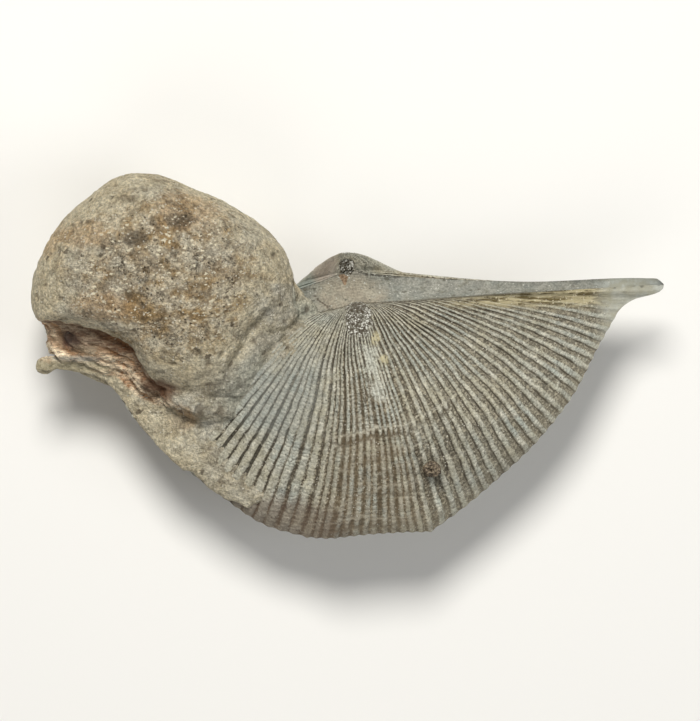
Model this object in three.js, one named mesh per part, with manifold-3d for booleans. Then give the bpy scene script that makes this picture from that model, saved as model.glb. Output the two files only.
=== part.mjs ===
// A winged brachiopod fossil (a spiriferid lamp shell) lying on its lower valve, with a lump of
// the rock it was found in still round its left wing. Millimetres, +Z up, +X along the right wing,
// +Y behind the hinge line. The origin is under the middle of the whole object.
import * as THREE from "three";
import { ParametricGeometry } from "three/addons/geometries/ParametricGeometry.js";
import { mergeGeometries, mergeVertices } from "three/addons/utils/BufferGeometryUtils.js";
import Module from "manifold-3d";

const wasm = await Module();
wasm.setup();

// ---- driving dimensions -------------------------------------------------------------------
const HINGE_HEIGHT = 13;         // the plane where the two valves meet, above the table
const SHELL_TURN = 7.3;          // degrees that the hinge line is turned up to the right
const BEAK_AT = [0.6, 6.65];     // the upper valve's beak, seen from above
const VALVE_GAP = 0.3;           // clear gap between touching pieces
const UPPER_HEIGHT = 8;          // the upper valve's height above the meeting plane
const LOWER_BEAK = [0.1, 6.1, -0.8];   // the lower valve's beak in the shell's own frame
const FOLD_LIFT = 2.2;           // how far the front edge arches up at the median fold
const FOLD_SPREAD = 0.3;         // the fold's half width for each millimetre from the beak
const FOLD_RISE = 1.1;           // the fold's own height above the flanks
const RIDGE_DROP = 3.6;          // how far the lower valve's ridge lies below the hinge line
const RIBS_ON_FLANK = 27;
const RIBS_ON_FOLD = 15;
const PLAIN_TIP_STEPS = 2;       // the smooth ends of the wings, counted in ribs
const RIB_HEIGHT = 0.34;
const UPPER_ROWS = 7;            // steps from the beak to the edge
const LOWER_ROWS = 9;
const ROW_PACKING = 1.35;        // rows stand closer together near the beak
const LUMP_CENTRE = [-25.9, 9.4, 11];
const LUMP_RADII = [18.2, 16.1, 13.4];
const LUMP_SQUARENESS = 2.2;     // 2 is an ellipsoid, and more is boxier
const LUMP_TAPER = 0.24;         // how much narrower the lump is below
const TUBE_AT = [11.8, -15.3];
const TUBE_RADIUS = 1.2;

// The shell's outline in its own frame, in order from the right wing tip round the front to the
// left one: x runs along the hinge line and y is behind it, with the upper beak at (0, 0).
const RIGHT_FLANK = [
  [43.8, -2.1], [38.6, -3.9], [36.3, -5.8], [33.3, -10], [29.1, -16], [23.2, -21.8], [17, -26.3],
  [11.9, -29.6], [7.1, -32.2],
];
const FOLD_EDGE = [[7.1, -32.2], [3.4, -31.8], [-2, -31.4], [-6.7, -31.3], [-10.2, -30.8]];
const LEFT_FLANK = [
  [-10.2, -30.8], [-16.2, -28.5], [-21.1, -24.5], [-27.5, -17.9], [-31.6, -12], [-34.2, -7],
  [-36.2, -4.9], [-39.4, -3.5], [-44.4, -2.3],
];

// The lower valve's profile down the middle: place along it, y and z in the shell's own frame.
const BELLY = [
  [0, 6.1, -0.8], [0.04, 7.5, -1.6], [0.1, 7.9, -4], [0.18, 6.2, -7.4], [0.3, 1.2, -10.8],
  [0.46, -6, -12.6], [0.56, -12.5, -13], [0.7, -19.5, -11.6], [0.86, -27, -6.8], [1, -31.4, 0],
];

// ---- small helpers ------------------------------------------------------------------------
// Goes smoothly from 0 at one value to 1 at another, which may be the smaller one.
function smooth(from, to, x) {
  const part = THREE.MathUtils.clamp((x - from) / (to - from), 0, 1);
  return part * part * (3 - 2 * part);
}
const curve = (points) => new THREE.CatmullRomCurve3(
  points.map(([x, y, z = 0]) => new THREE.Vector3(x, y, z)), false, "centripetal");

// Joins surfaces into one closed mesh: equal corners are shared and flat triangles are dropped.
function weld(surfaces) {
  const bare = surfaces.map((surface) => {
    const copy = surface.clone();
    copy.deleteAttribute("normal");
    copy.deleteAttribute("uv");
    return copy;
  });
  const joined = mergeVertices(mergeGeometries(bare), 1e-4);
  const corners = joined.index.array;
  const kept = [];
  for (let i = 0; i < corners.length; i += 3) {
    const [a, b, c] = corners.slice(i, i + 3);
    if (a !== b && b !== c && c !== a) kept.push(a, b, c);
  }
  joined.setIndex(kept);
  return joined;
}

function turnedOver(surface) {
  const corners = surface.index.array;
  for (let i = 0; i < corners.length; i += 3) {
    [corners[i], corners[i + 1]] = [corners[i + 1], corners[i]];
  }
  return surface;
}

function toManifold(geometry) {
  return new wasm.Manifold(new wasm.Mesh({
    numProp: 3,
    vertProperties: Float32Array.from(geometry.attributes.position.array),
    triVerts: Uint32Array.from(geometry.index.array),
  }));
}

function toGeometry(manifold) {
  const mesh = manifold.getMesh();
  const geometry = new THREE.BufferGeometry();
  geometry.setAttribute("position", new THREE.BufferAttribute(mesh.vertProperties, 3));
  geometry.setIndex(new THREE.BufferAttribute(mesh.triVerts, 1));
  geometry.computeVertexNormals();
  return geometry;
}

// ---- the shell's outline and ribs ---------------------------------------------------------
const rightFlank = curve(RIGHT_FLANK);
const foldEdge = curve(FOLD_EDGE);
const leftFlank = curve(LEFT_FLANK);
const flankRibs = RIBS_ON_FLANK + PLAIN_TIP_STEPS;
const ribCount = 2 * flankRibs + RIBS_ON_FOLD;

// A point of the outline, for a rib number counted from the right wing tip. The ribs stand wider
// apart near the fold than near the wings.
function outline(rib) {
  const spread = (part) => part ** 1.2;
  let point;
  if (rib <= flankRibs) point = rightFlank.getPointAt(spread(rib / flankRibs));
  else if (rib <= flankRibs + RIBS_ON_FOLD) {
    point = foldEdge.getPointAt((rib - flankRibs) / RIBS_ON_FOLD);
  } else {
    const fromTip = (ribCount - rib) / flankRibs;
    point = leftFlank.getPointAt(1 - spread(fromTip));
  }
  return point;
}

// How much the median fold lifts the shell at a place: 1 on its crown, 0 on the flanks.
function foldAt(x, y) {
  const halfWidth = FOLD_SPREAD * Math.max(-y, 0.01);
  const middle = 0.04 * y;
  return smooth(1.15, 0.55, Math.abs(x - middle) / halfWidth) * smooth(0, -8, y);
}

// The height of the line where the valves meet, which arches up at the front of the fold.
function meeting(rib) {
  const edge = outline(rib);
  return FOLD_LIFT * foldAt(edge.x, edge.y);
}

// Each rib is a wave that starts near the beak and fades on the smooth wing tips.
function ribWave(rib, along) {
  const fromTip = Math.min(rib, ribCount - rib);
  const height = RIB_HEIGHT * smooth(PLAIN_TIP_STEPS, PLAIN_TIP_STEPS + 5, fromTip);
  return height * Math.cos(2 * Math.PI * rib) * smooth(0.04, 0.5, along);
}

// How far the shell stands out from its meeting plane: 0 at the hinge, 1 down the middle.
function fullness(rib) {
  const edge = outline(rib);
  const fromTip = Math.min(rib, ribCount - rib);
  const slant = Math.sin(Math.atan2(-edge.y, Math.abs(edge.x))) ** 0.8;
  return slant * smooth(0, PLAIN_TIP_STEPS, fromTip);
}

// The way that a rib takes from the upper beak to the edge, seen from above: it sets out along
// the hinge line and bends to the front.
const ribPath = (edge, along) => [edge.x * along ** 0.78, edge.y * along ** 1.25];

// ---- the two valves' outer skins ----------------------------------------------------------
// A point of the upper valve, for a rib number and a place along the rib.
function upperPoint(rib, along, ribs, target) {
  const edge = outline(rib);
  const [x, y] = ribPath(edge, along);
  const dome = Math.sin(Math.PI * along ** 0.62) ** 0.75;
  const fold = FOLD_RISE * foldAt(x, y) * Math.sin(Math.PI * along ** 1.3);
  const wave = ribs * ribWave(rib, along) * smooth(1, 0.93, along);
  const rise = UPPER_HEIGHT * fullness(rib) * Math.max(dome, 0);
  target.set(x, y, meeting(rib) * along + rise + fold + wave);
}

const belly = curve(BELLY.map(([, y, z]) => [0, y, z]));
const bellyKeys = BELLY.map(([along]) => along);

// The belly profile at a place along it, read between the named places.
function bellyAt(along) {
  let step = 0;
  while (step < bellyKeys.length - 2 && bellyKeys[step + 1] < along) step += 1;
  const part = (along - bellyKeys[step]) / (bellyKeys[step + 1] - bellyKeys[step]);
  return belly.getPoint((step + part) / (bellyKeys.length - 1));
}

// A point of the lower valve: a straight ridge out to the wing tips, and a deep bowl between.
function lowerPoint(rib, along, ribs, target) {
  const [beakX, beakY, beakZ] = LOWER_BEAK;
  const edge = outline(rib);
  const front = BELLY.at(-1);
  const profile = bellyAt(along);
  const full = fullness(rib);
  const straightY = beakY + (front[1] - beakY) * along;
  const straightZ = beakZ * (1 - along);
  const x = beakX + (edge.x - beakX) * along ** 0.8;
  const y = beakY + (edge.y - beakY) * along ** (0.65 + 0.35 * full)
    + (profile.y - straightY) * full;
  const ridge = -RIDGE_DROP * (1 - full) * (1 - along) * smooth(0, 0.16, along);
  const sulcus = 1.6 * foldAt(x, y) * Math.sin(Math.PI * along ** 1.6);
  const wave = ribs * ribWave(rib, along) * smooth(1, 0.93, along);
  const arch = meeting(rib) * smooth(0.5, 1, along);
  target.set(x, y, straightZ + (profile.z - straightZ) * full + ridge + sulcus + arch - wave);
}

// A skin over all ribs, with rows packed towards the beak.
function skin(pointOn, ribs, columns, rows) {
  return new ParametricGeometry((across, along, target) => {
    pointOn(across * ribCount, along ** ROW_PACKING, ribs, target);
  }, columns, rows);
}

// ---- closing the valves -------------------------------------------------------------------
// The inner face, at the height where the valves meet: a fan of triangles from the beak, and at
// each wing a sliver whose edge follows the rows of the hinge line.
function innerFace(columns, rows) {
  const ribAt = (column) => column / columns * ribCount;
  const fan = new THREE.CircleGeometry(1, columns - 2, 0, Math.PI);
  const place = fan.attributes.position;
  place.setXYZ(0, 0, 0, 0);
  for (let column = 1; column < columns; column += 1) {
    const rib = ribAt(column);
    const { x, y } = outline(rib);
    place.setXYZ(column, x, y, meeting(rib));
  }
  const wing = (tipRib, nextRib) => {
    const tip = outline(tipRib);
    const next = outline(nextRib);
    const corners = Array.from({ length: rows + 1 }, (_, row) =>
      new THREE.Vector2(...ribPath(tip, (row / rows) ** ROW_PACKING)));
    return new THREE.ShapeGeometry(new THREE.Shape([...corners, new THREE.Vector2(next.x, next.y)]));
  };
  return mergeGeometries([turnedOver(fan), wing(0, ribAt(1)), wing(ribCount, ribAt(columns - 1))]);
}

// The interarea: the plain band between the hinge line and the lower valve's beak ridge.
function interarea(rib, rows) {
  const tip = outline(rib);
  const onRidge = new THREE.Vector3();
  return new ParametricGeometry((across, row, target) => {
    const along = row ** ROW_PACKING;
    const [x, y] = ribPath(tip, along);
    lowerPoint(rib, along, 0, onRidge);
    const hollow = -0.7 * Math.sin(Math.PI * across) * (1 - along);
    target.set(x, y, 0).lerp(onRidge, across);
    target.z += hollow;
  }, 3, rows);
}

function upperValve(ribs, columns, rows) {
  return weld([skin(upperPoint, ribs, columns, rows), turnedOver(innerFace(columns, rows))]);
}

function lowerValve(ribs, columns, rows) {
  const right = turnedOver(interarea(0, rows));
  const left = interarea(ribCount, rows);
  const outer = turnedOver(skin(lowerPoint, ribs, columns, rows));
  return weld([outer, innerFace(columns, rows), right, left]);
}

const shellPlace = new THREE.Matrix4()
  .makeTranslation(BEAK_AT[0], BEAK_AT[1], HINGE_HEIGHT)
  .multiply(new THREE.Matrix4().makeRotationZ(THREE.MathUtils.degToRad(SHELL_TURN)));

function placed(geometry, lift) {
  return geometry.clone().applyMatrix4(shellPlace).translate(0, 0, lift);
}

// ---- the matrix ---------------------------------------------------------------------------
// A rounded boulder: a sphere squared off a little, narrower below, with low swells.
function boulder() {
  const geometry = new THREE.SphereGeometry(1, 40, 26).rotateX(Math.PI / 2);
  const place = geometry.attributes.position;
  const point = new THREE.Vector3();
  for (let i = 0; i < place.count; i += 1) {
    point.fromBufferAttribute(place, i);
    const size = (Math.abs(point.x) ** LUMP_SQUARENESS + Math.abs(point.y) ** LUMP_SQUARENESS
      + Math.abs(point.z) ** LUMP_SQUARENESS) ** (-1 / LUMP_SQUARENESS);
    point.multiplyScalar(size);
    const swell = 1 + 0.018 * Math.sin(5 * point.x + 2 * point.y)
      + 0.015 * Math.sin(4 * point.y - 6 * point.z);
    const narrow = 1 - LUMP_TAPER * smooth(0.15, -0.8, point.z);
    const [radiusX, radiusY, radiusZ] = LUMP_RADII;
    place.setXYZ(i, point.x * radiusX * swell * narrow, point.y * radiusY * swell * narrow,
      point.z * radiusZ * swell);
  }
  return weld([geometry]).translate(...LUMP_CENTRE);
}

// The broken hollow low on the left of the lump, which bares the wing's edge.
function brokenHollow() {
  const path = curve([[-49, 0.4, 17.2], [-42, 0.8, 16.8], [-37, 0, 17], [-32, -2.4, 17.6],
    [-28.5, -6, 18.4], [-26.5, -11, 19.4]]);
  const section = new THREE.Shape().absellipse(0, 0, 3.8, 4.4, 0, 2 * Math.PI, false, 0);
  return weld([new THREE.ExtrudeGeometry(section,
    { extrudePath: path, steps: 16, curveSegments: 6, bevelEnabled: false })]);
}

// Room for a valve: plain copies of it, a little larger and moved each way past its ribs.
function roomFor(valve) {
  const larger = valve.scale(1.02, 1.02, 1.02);
  const reach = VALVE_GAP + RIB_HEIGHT;
  const moves = [[0, reach, 0], [0, -reach, 0]];
  for (const share of [-1, -0.6, -0.2, 0.2, 0.6, 1]) moves.push([0, 0, share * reach]);
  return moves.map((move) => toManifold(placed(larger, 0).translate(...move)));
}

// The lump, broken off flat underneath at the level of the table.
function matrixLump(tableLevel) {
  const table = new THREE.BoxGeometry(200, 200, 40).translate(0, 0, tableLevel - 20);
  const cutters = [
    toManifold(weld([table])),
    toManifold(brokenHollow()),
    ...roomFor(upperValve(0, ribCount, UPPER_ROWS)),
    ...roomFor(lowerValve(0, ribCount, LOWER_ROWS)),
  ];
  const cut = cutters.reduce((rock, cutter) => rock.subtract(cutter), toManifold(boulder()));
  const [largest] = cut.decompose().sort((a, b) => b.volume() - a.volume());
  return toGeometry(largest);
}

// ---- the worm tube ------------------------------------------------------------------------
// A low coil with a sunken middle, set just clear of the ribs and leaning with the flank.
function wormTube(ground) {
  const profile = [[0, 0], [0.75, 0], [1, 0.12], [1, 0.45], [0.82, 0.72], [0.55, 0.74],
    [0.35, 0.52], [0, 0.42]];
  const points = profile.map(([r, z]) => new THREE.Vector2(r * TUBE_RADIUS, z * TUBE_RADIUS));
  const geometry = new THREE.LatheGeometry(points, 20).rotateX(Math.PI / 2);
  const level = (x, y) => new THREE.Raycaster(new THREE.Vector3(x, y, 100),
    new THREE.Vector3(0, 0, -1)).intersectObject(ground)[0].point;
  const [x, y] = TUBE_AT;
  const reach = 1.5 * TUBE_RADIUS;
  const alongX = level(x + reach, y).sub(level(x - reach, y));
  const alongY = level(x, y + reach).sub(level(x, y - reach));
  const up = alongX.cross(alongY).normalize();
  const lean = new THREE.Quaternion().setFromUnitVectors(new THREE.Vector3(0, 0, 1), up);
  const seat = level(x, y).addScaledVector(up, RIB_HEIGHT + 2 * VALVE_GAP);
  return weld([geometry]).applyQuaternion(lean).translate(...seat.toArray());
}

// ---- the object ---------------------------------------------------------------------------
function piece(name, geometry, color, roughness) {
  geometry.computeVertexNormals();
  const material = new THREE.MeshStandardMaterial({ color, roughness, metalness: 0 });
  const mesh = new THREE.Mesh(geometry, material);
  mesh.name = name;
  return mesh;
}

const brachial = placed(upperValve(1, 2 * ribCount, UPPER_ROWS), VALVE_GAP / 2);
const pedicle = placed(lowerValve(1, 2 * ribCount, LOWER_ROWS), -VALVE_GAP / 2);
const brachialMesh = piece("brachial_valve", brachial, 0x96927f, 0.8);
pedicle.computeBoundingBox();

const fossil = new THREE.Group();
fossil.add(
  piece("pedicle_valve", pedicle, 0x9a9885, 0.8),
  brachialMesh,
  piece("matrix_lump", matrixLump(pedicle.boundingBox.min.z), 0xa09678, 0.95),
  piece("worm_tube", wormTube(brachialMesh), 0x6b6455, 0.7),
);

// The origin goes under the middle of the whole object, on the table.
const bounds = new THREE.Box3().setFromObject(fossil, true);
const middle = bounds.getCenter(new THREE.Vector3());
fossil.position.set(-middle.x, -middle.y, -bounds.min.z);
fossil.updateMatrixWorld(true);

export default fossil;
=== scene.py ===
# %% [markdown]
# # A winged brachiopod fossil
# A lamp shell lies on its lower valve, with fine ribs fanning out from its beak. A lump of the
# rock it was found in still covers its left wing. The fossil is made from four pieces: the two
# valves, the rock and a tiny coiled worm tube. First the packed model is loaded as the frame.

# %% Load the frame
import math
import bmesh
import bpy
import numpy as np
from mathutils import Matrix, Vector


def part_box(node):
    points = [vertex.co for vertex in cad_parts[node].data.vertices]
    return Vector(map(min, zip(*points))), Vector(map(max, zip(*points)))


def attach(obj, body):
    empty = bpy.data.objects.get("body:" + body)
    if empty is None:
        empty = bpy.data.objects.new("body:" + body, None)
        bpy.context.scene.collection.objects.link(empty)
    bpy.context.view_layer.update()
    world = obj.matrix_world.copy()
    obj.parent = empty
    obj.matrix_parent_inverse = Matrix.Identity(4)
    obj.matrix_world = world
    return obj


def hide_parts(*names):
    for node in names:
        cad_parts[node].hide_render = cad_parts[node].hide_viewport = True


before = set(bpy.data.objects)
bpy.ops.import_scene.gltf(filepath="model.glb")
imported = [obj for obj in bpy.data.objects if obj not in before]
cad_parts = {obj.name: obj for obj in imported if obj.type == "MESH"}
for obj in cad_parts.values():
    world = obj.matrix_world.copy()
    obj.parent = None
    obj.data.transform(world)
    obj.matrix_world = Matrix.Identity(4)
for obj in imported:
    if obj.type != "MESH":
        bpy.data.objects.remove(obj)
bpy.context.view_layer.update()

print("frame nodes:", sorted(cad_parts))

# %% [markdown]
# ## Sizes
# Shapes are worked out in millimetres and scaled to metres when a mesh is finished. The shell has
# a frame of its own: x runs along the hinge line, y points behind it, and the upper beak is at
# (0, 0). The hinge line is turned a little in the fossil's frame.

# %% Driving sizes
MM = 0.001
SHELL_TURN = math.radians(7.3)
TURN_COS, TURN_SIN = math.cos(SHELL_TURN), math.sin(SHELL_TURN)
RIGHT_TIP = (43.8, -2.1)
LEFT_TIP = (-44.2, -2.4)

upper_low, upper_high = [np.array(corner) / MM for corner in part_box("brachial_valve")]
HINGE_HEIGHT = upper_low[2] - 0.15
BEAK_X = upper_high[0] - RIGHT_TIP[0] * TURN_COS + RIGHT_TIP[1] * TURN_SIN
BEAK_Y = upper_high[1] - RIGHT_TIP[0] * TURN_SIN - RIGHT_TIP[1] * TURN_COS
RIBS_ON_FLANK = 27
RIBS_ON_FOLD = 13
PLAIN_TIP = 2                     # the smooth wing tip's share, counted in ribs
FLANK = RIBS_ON_FLANK + PLAIN_TIP
RIB_COUNT = 2 * FLANK + RIBS_ON_FOLD
UPPER_HEIGHT = 8.0
HINGE_RIBS = 18                   # outer ribs that start on the hinge line, not at the beak
HINGE_START = (-13.0, 25.0)       # how far along the hinge, left and right
RIB_SWING = 1.6                   # how far the ribs bow to the right on their way to the front
LOWER_BEAK = (0.1, 5.6, -0.8)
FOLD_LIFT = 2.2
FOLD_SPREAD = 0.3
FOLD_RISE = 1.1
RIDGE_DROP = 3.6
print(f"beak at {BEAK_X:.2f}, {BEAK_Y:.2f} mm, hinge {HINGE_HEIGHT:.2f} mm above the table")

# %% [markdown]
# ## Helpers for smooth shapes and rough stone
# A fossil has no straight lines, so nearly every size fades into the next. `fade` is the soft
# step that does that. `noise` is a cheap lattice noise: random values on a grid of points, blended
# between them. Adding several sizes of it gives the look of worn stone.

# %% Shape helpers
def fade(start, end, x):
    part = np.clip((x - start) / (end - start), 0, 1)
    return part * part * (3 - 2 * part)


def bump(middle, width, x):
    return np.exp(-(((x - middle) / width) ** 2))


def smooth_line(points, steps=40):
    """Many points on a smooth curve through a few, with the length up to each."""
    p = np.array(points, float)
    p = np.vstack([2 * p[0] - p[1], p, 2 * p[-1] - p[-2]])
    t = np.linspace(0, 1, steps, endpoint=False)[:, None]
    parts = []
    for i in range(1, len(p) - 2):
        a, b, c, d = p[i - 1:i + 3]
        curve = 2 * b + (c - a) * t + (2 * a - 5 * b + 4 * c - d) * t ** 2
        parts.append((curve + (3 * b - a - 3 * c + d) * t ** 3) / 2)
    line = np.vstack(parts + [p[-2:-1]])
    steps_between = np.linalg.norm(np.diff(line, axis=0), axis=1)
    return line, np.concatenate([[0], np.cumsum(steps_between)])


def on_line(curve, share):
    line, length = curve
    return np.stack([np.interp(share * length[-1], length, axis) for axis in line.T], axis=-1)


def lattice(ix, iy, iz, seed):
    n = ix * 73856093 ^ iy * 19349663 ^ iz * 83492791 ^ (seed * 2654435761 & 0xFFFFFFFF)
    n = (n ^ n >> 13) * 1274126177 & 0xFFFFFFFF
    return ((n ^ n >> 16) & 0xFFFF) / 32767.5 - 1


def noise(points, size, seed=0, octaves=3, gain=0.5):
    """Soft random values between about -1 and 1, with features of the given size in mm."""
    total = np.zeros(len(points))
    reach = 0
    for octave in range(octaves):
        q = points * (2 ** octave / size) + 1000 + 17.3 * seed
        whole = np.floor(q).astype(np.int64)
        part = q - whole
        part = part * part * (3 - 2 * part)
        value = 0
        for cx in (0, 1):
            for cy in (0, 1):
                for cz in (0, 1):
                    share = np.where([cx, cy, cz], part, 1 - part).prod(axis=1)
                    corner = whole + (cx, cy, cz)
                    value = value + share * lattice(*corner.T, seed + octave)
        total += value * gain ** octave
        reach += gain ** octave
    return total / reach


def to_fossil(points):
    """From the shell's own frame to the fossil's frame, both in mm."""
    x, y, z = points.T
    return np.stack([BEAK_X + x * TURN_COS - y * TURN_SIN,
                     BEAK_Y + x * TURN_SIN + y * TURN_COS, HINGE_HEIGHT + z], axis=1)


def to_shell(points):
    """From the fossil's frame to the shell's own frame."""
    x, y, z = (points - (BEAK_X, BEAK_Y, HINGE_HEIGHT)).T
    return np.stack([x * TURN_COS + y * TURN_SIN, y * TURN_COS - x * TURN_SIN, z], axis=1)


def side_distance(points, corners):
    """Signed distance to an open line in plan, above 0 to the right of its direction."""
    best = np.full(len(points), 1e9)
    signed = np.zeros(len(points))
    flat = points[:, :2]
    for a, b in zip(np.array(corners[:-1]), np.array(corners[1:])):
        run = b - a
        share = np.clip((flat - a) @ run / (run @ run), 0, 1)
        off = flat - (a + share[:, None] * run)
        distance = np.hypot(*off.T)
        side = np.sign(run[1] * (flat[:, 0] - a[0]) - run[0] * (flat[:, 1] - a[1]))
        nearer = distance < best
        best = np.where(nearer, distance, best)
        signed = np.where(nearer, distance * side, signed)
    return signed


print("one sample of noise:", noise(np.array([[1.0, 2.0, 3.0]]), 2.0)[0].round(3))

# %% [markdown]
# ## Helpers for meshes
# A piece starts as an operator's shape, such as a grid or a sphere. Its points are read into one
# array, moved by a formula and written back. Marks, such as how high a point is on its rib, are
# stored on the mesh as attributes, and the materials read them.

# %% Mesh helpers
def read_points(mesh):
    points = np.empty(len(mesh.vertices) * 3)
    mesh.vertices.foreach_get("co", points)
    return points.reshape(-1, 3)


def write_points(mesh, points):
    mesh.vertices.foreach_set("co", points.ravel())
    mesh.update()


def read_normals(mesh):
    normals = np.empty(len(mesh.vertices) * 3)
    mesh.vertex_normals.foreach_get("vector", normals)
    return normals.reshape(-1, 3)


def mark(mesh, **marks):
    """Stores a value on each point of the mesh, under each mark's name."""
    for name, values in marks.items():
        attribute = mesh.attributes.new(name, "FLOAT", "POINT")
        attribute.data.foreach_set("value", np.broadcast_to(values, len(mesh.vertices)).copy())


def mesh_from(name, shape):
    mesh = bpy.data.meshes.new(name)
    shape.to_mesh(mesh)
    shape.free()
    return mesh


def sheet_mesh(name, columns, rows):
    """A flat grid whose x and y run from 0 to 1, ready to be bent into a surface."""
    shape = bmesh.new()
    bmesh.ops.create_grid(shape, x_segments=columns, y_segments=rows, size=0.5)
    bmesh.ops.translate(shape, verts=shape.verts, vec=(0.5, 0.5, 0))
    return mesh_from(name, shape)


def finish_piece(name, mesh, material, node):
    """Scales a mesh in mm to metres and makes it a piece that stands for a node."""
    mesh.transform(Matrix.Scale(MM, 4))
    mesh.shade_smooth()
    mesh.materials.append(material)
    piece = bpy.data.objects.new(name, mesh)
    bpy.context.scene.collection.objects.link(piece)
    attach(piece, "root")
    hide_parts(node)
    mesh.calc_loop_triangles()
    solid = bmesh.new()
    solid.from_mesh(mesh)
    open_edges = sum(not edge.is_manifold for edge in solid.edges)
    print(f"{name}: {len(mesh.loop_triangles)} triangles, {open_edges} open edges, "
          f"{solid.calc_volume(signed=True) / MM ** 3:.0f} mm3")
    solid.free()
    return piece

# %% [markdown]
# ## The camera, floor and light
# The fossil lies on a pale table and is looked at from straight above. A long lens keeps the
# shape true. The light is one strong soft panel above the beak's side, and two weaker, wider ones
# that open the shadows.

# %% Camera, floor and lights
FRAME_WIDTH = 98.0 * MM           # how much of the table shows from left to right
CAMERA_HEIGHT = 0.5
SUBJECT_HEIGHT = 0.0125
FRAME_ASPECT = 1.03               # the frame's height for its width
VIEW_CENTRE = (0.35 * MM, -0.7 * MM)
SENSOR_WIDTH = 36

scene = bpy.context.scene
camera = bpy.data.objects.new("camera", bpy.data.cameras.new("camera"))
scene.collection.objects.link(camera)
scene.camera = camera
camera.location = (*VIEW_CENTRE, CAMERA_HEIGHT)
camera.data.sensor_width = SENSOR_WIDTH
camera_distance = CAMERA_HEIGHT - SUBJECT_HEIGHT
camera.data.lens = SENSOR_WIDTH * camera_distance / (FRAME_WIDTH * FRAME_ASPECT)
camera.data.clip_start = 0.01

floor_shape = bmesh.new()
bmesh.ops.create_grid(floor_shape, x_segments=1, y_segments=1, size=1.5)
floor = bpy.data.objects.new("floor", mesh_from("floor", floor_shape))
scene.collection.objects.link(floor)
floor_finish = bpy.data.materials.new("pale_table")
floor_finish.use_nodes = True
floor_shader = floor_finish.node_tree.nodes["Principled BSDF"]
floor_shader.inputs["Base Color"].default_value = (0.84, 0.83, 0.80, 1)
floor_shader.inputs["Roughness"].default_value = 0.7
floor.data.materials.append(floor_finish)

world = bpy.data.worlds.new("studio")
scene.world = world
world.use_nodes = True
world.node_tree.nodes["Background"].inputs["Color"].default_value = (0.95, 0.97, 1.0, 1)
world.node_tree.nodes["Background"].inputs["Strength"].default_value = 0.14
scene.view_settings.view_transform = "Standard"


def soft_panel(name, place, size, power, colour):
    light = bpy.data.lights.new(name, "AREA")
    light.shape = "DISK"
    light.size = size
    light.energy = power
    light.color = colour
    panel = bpy.data.objects.new(name, light)
    scene.collection.objects.link(panel)
    panel.location = place
    panel.rotation_mode = "QUATERNION"
    panel.rotation_quaternion = Vector(place).to_track_quat("Z", "Y")


soft_panel("key", (-0.05, 0.31, 0.51), 0.22, 3.4, (1.0, 0.98, 0.94))
soft_panel("fill", (0.42, -0.12, 0.42), 0.35, 0.8, (0.94, 0.97, 1.0))
soft_panel("front", (-0.15, -0.45, 0.42), 0.4, 0.75, (1.0, 0.97, 0.93))
print("lens", round(camera.data.lens, 1), "mm")

# %% [markdown]
# ## The shell's outline
# Both valves share one edge. It runs from the right wing tip, round the front, to the left one.
# Ribs are numbered along it. They stand widest apart beside the fold, closer on the fold itself
# and closest near the wings.

# %% Outline
right_edge = smooth_line([
    RIGHT_TIP, (43.5, -2.75), (42.3, -3.25), (39.6, -3.6), (37.5, -4.6), (36.2, -6.1),
    (33.3, -10), (29.1, -16), (23.2, -21.8), (17, -26.3), (11.9, -29.6), (7.1, -32.2)])
fold_edge = smooth_line([(7.1, -32.2), (3.4, -31.75), (-2, -31.4), (-6.7, -31.3), (-10.2, -30.8)])
left_edge = smooth_line([
    (-10.2, -30.8), (-15.9, -28.3), (-20.7, -24.2), (-27.2, -17.6), (-31.6, -12), (-34.2, -7),
    (-36.2, -4.9), (-39.4, -3.5), LEFT_TIP])


def outline(rib):
    rib = np.asarray(rib, float)
    right = on_line(right_edge, np.clip(rib / FLANK, 0, 1) ** 1.2)
    fold = on_line(fold_edge, np.clip((rib - FLANK) / RIBS_ON_FOLD, 0, 1))
    left = on_line(left_edge, 1 - np.clip((RIB_COUNT - rib) / FLANK, 0, 1) ** 1.2)
    on_right = (rib <= FLANK)[..., None]
    on_fold = (rib <= FLANK + RIBS_ON_FOLD)[..., None]
    return np.where(on_right, right, np.where(on_fold, fold, left))


def tip_distance(rib):
    """How many ribs there are to the nearer wing tip."""
    return np.minimum(rib, RIB_COUNT - rib)


print("the shell's front corner:", outline(FLANK).round(1))

# %% The fold and the edge
def fold_at(x, y):
    half_width = FOLD_SPREAD * np.maximum(-y, 0.01)
    middle = 0.04 * y + 1.0 * bump(-17, 8, y)
    return fade(1.15, 0.55, np.abs(x - middle) / half_width) * fade(0, -8, y)


def edge_lift(rib):
    edge = outline(rib)
    return FOLD_LIFT * fold_at(edge[..., 0], edge[..., 1])


def fullness(rib):
    """How far the shell stands out from its meeting plane: 0 at the hinge, 1 in the middle."""
    edge = outline(rib)
    from_tip = tip_distance(rib)
    slant = np.sin(np.arctan2(-edge[..., 1], np.abs(edge[..., 0]))) ** 0.8
    return slant * fade(0, PLAIN_TIP, from_tip)


def hinge_y(x):
    """The hinge line droops a little towards both wing tips."""
    drop = np.where(x > 0, RIGHT_TIP[1], LEFT_TIP[1])
    reach = np.where(x > 0, RIGHT_TIP[0], LEFT_TIP[0])
    return drop * np.clip(x / reach, 0, 1) ** 1.6


print("the hinge line's droop at the right tip:", round(float(hinge_y(RIGHT_TIP[0])), 2), "mm")

# %% The upper valve's dome
edge_points = outline(np.linspace(0, RIB_COUNT, 500))
edge_down = hinge_y(edge_points[:, 0]) - edge_points[:, 1]
EDGE_ANGLE = np.arctan2(edge_down, edge_points[:, 0])
EDGE_REACH = np.hypot(edge_down, edge_points[:, 0])


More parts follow.
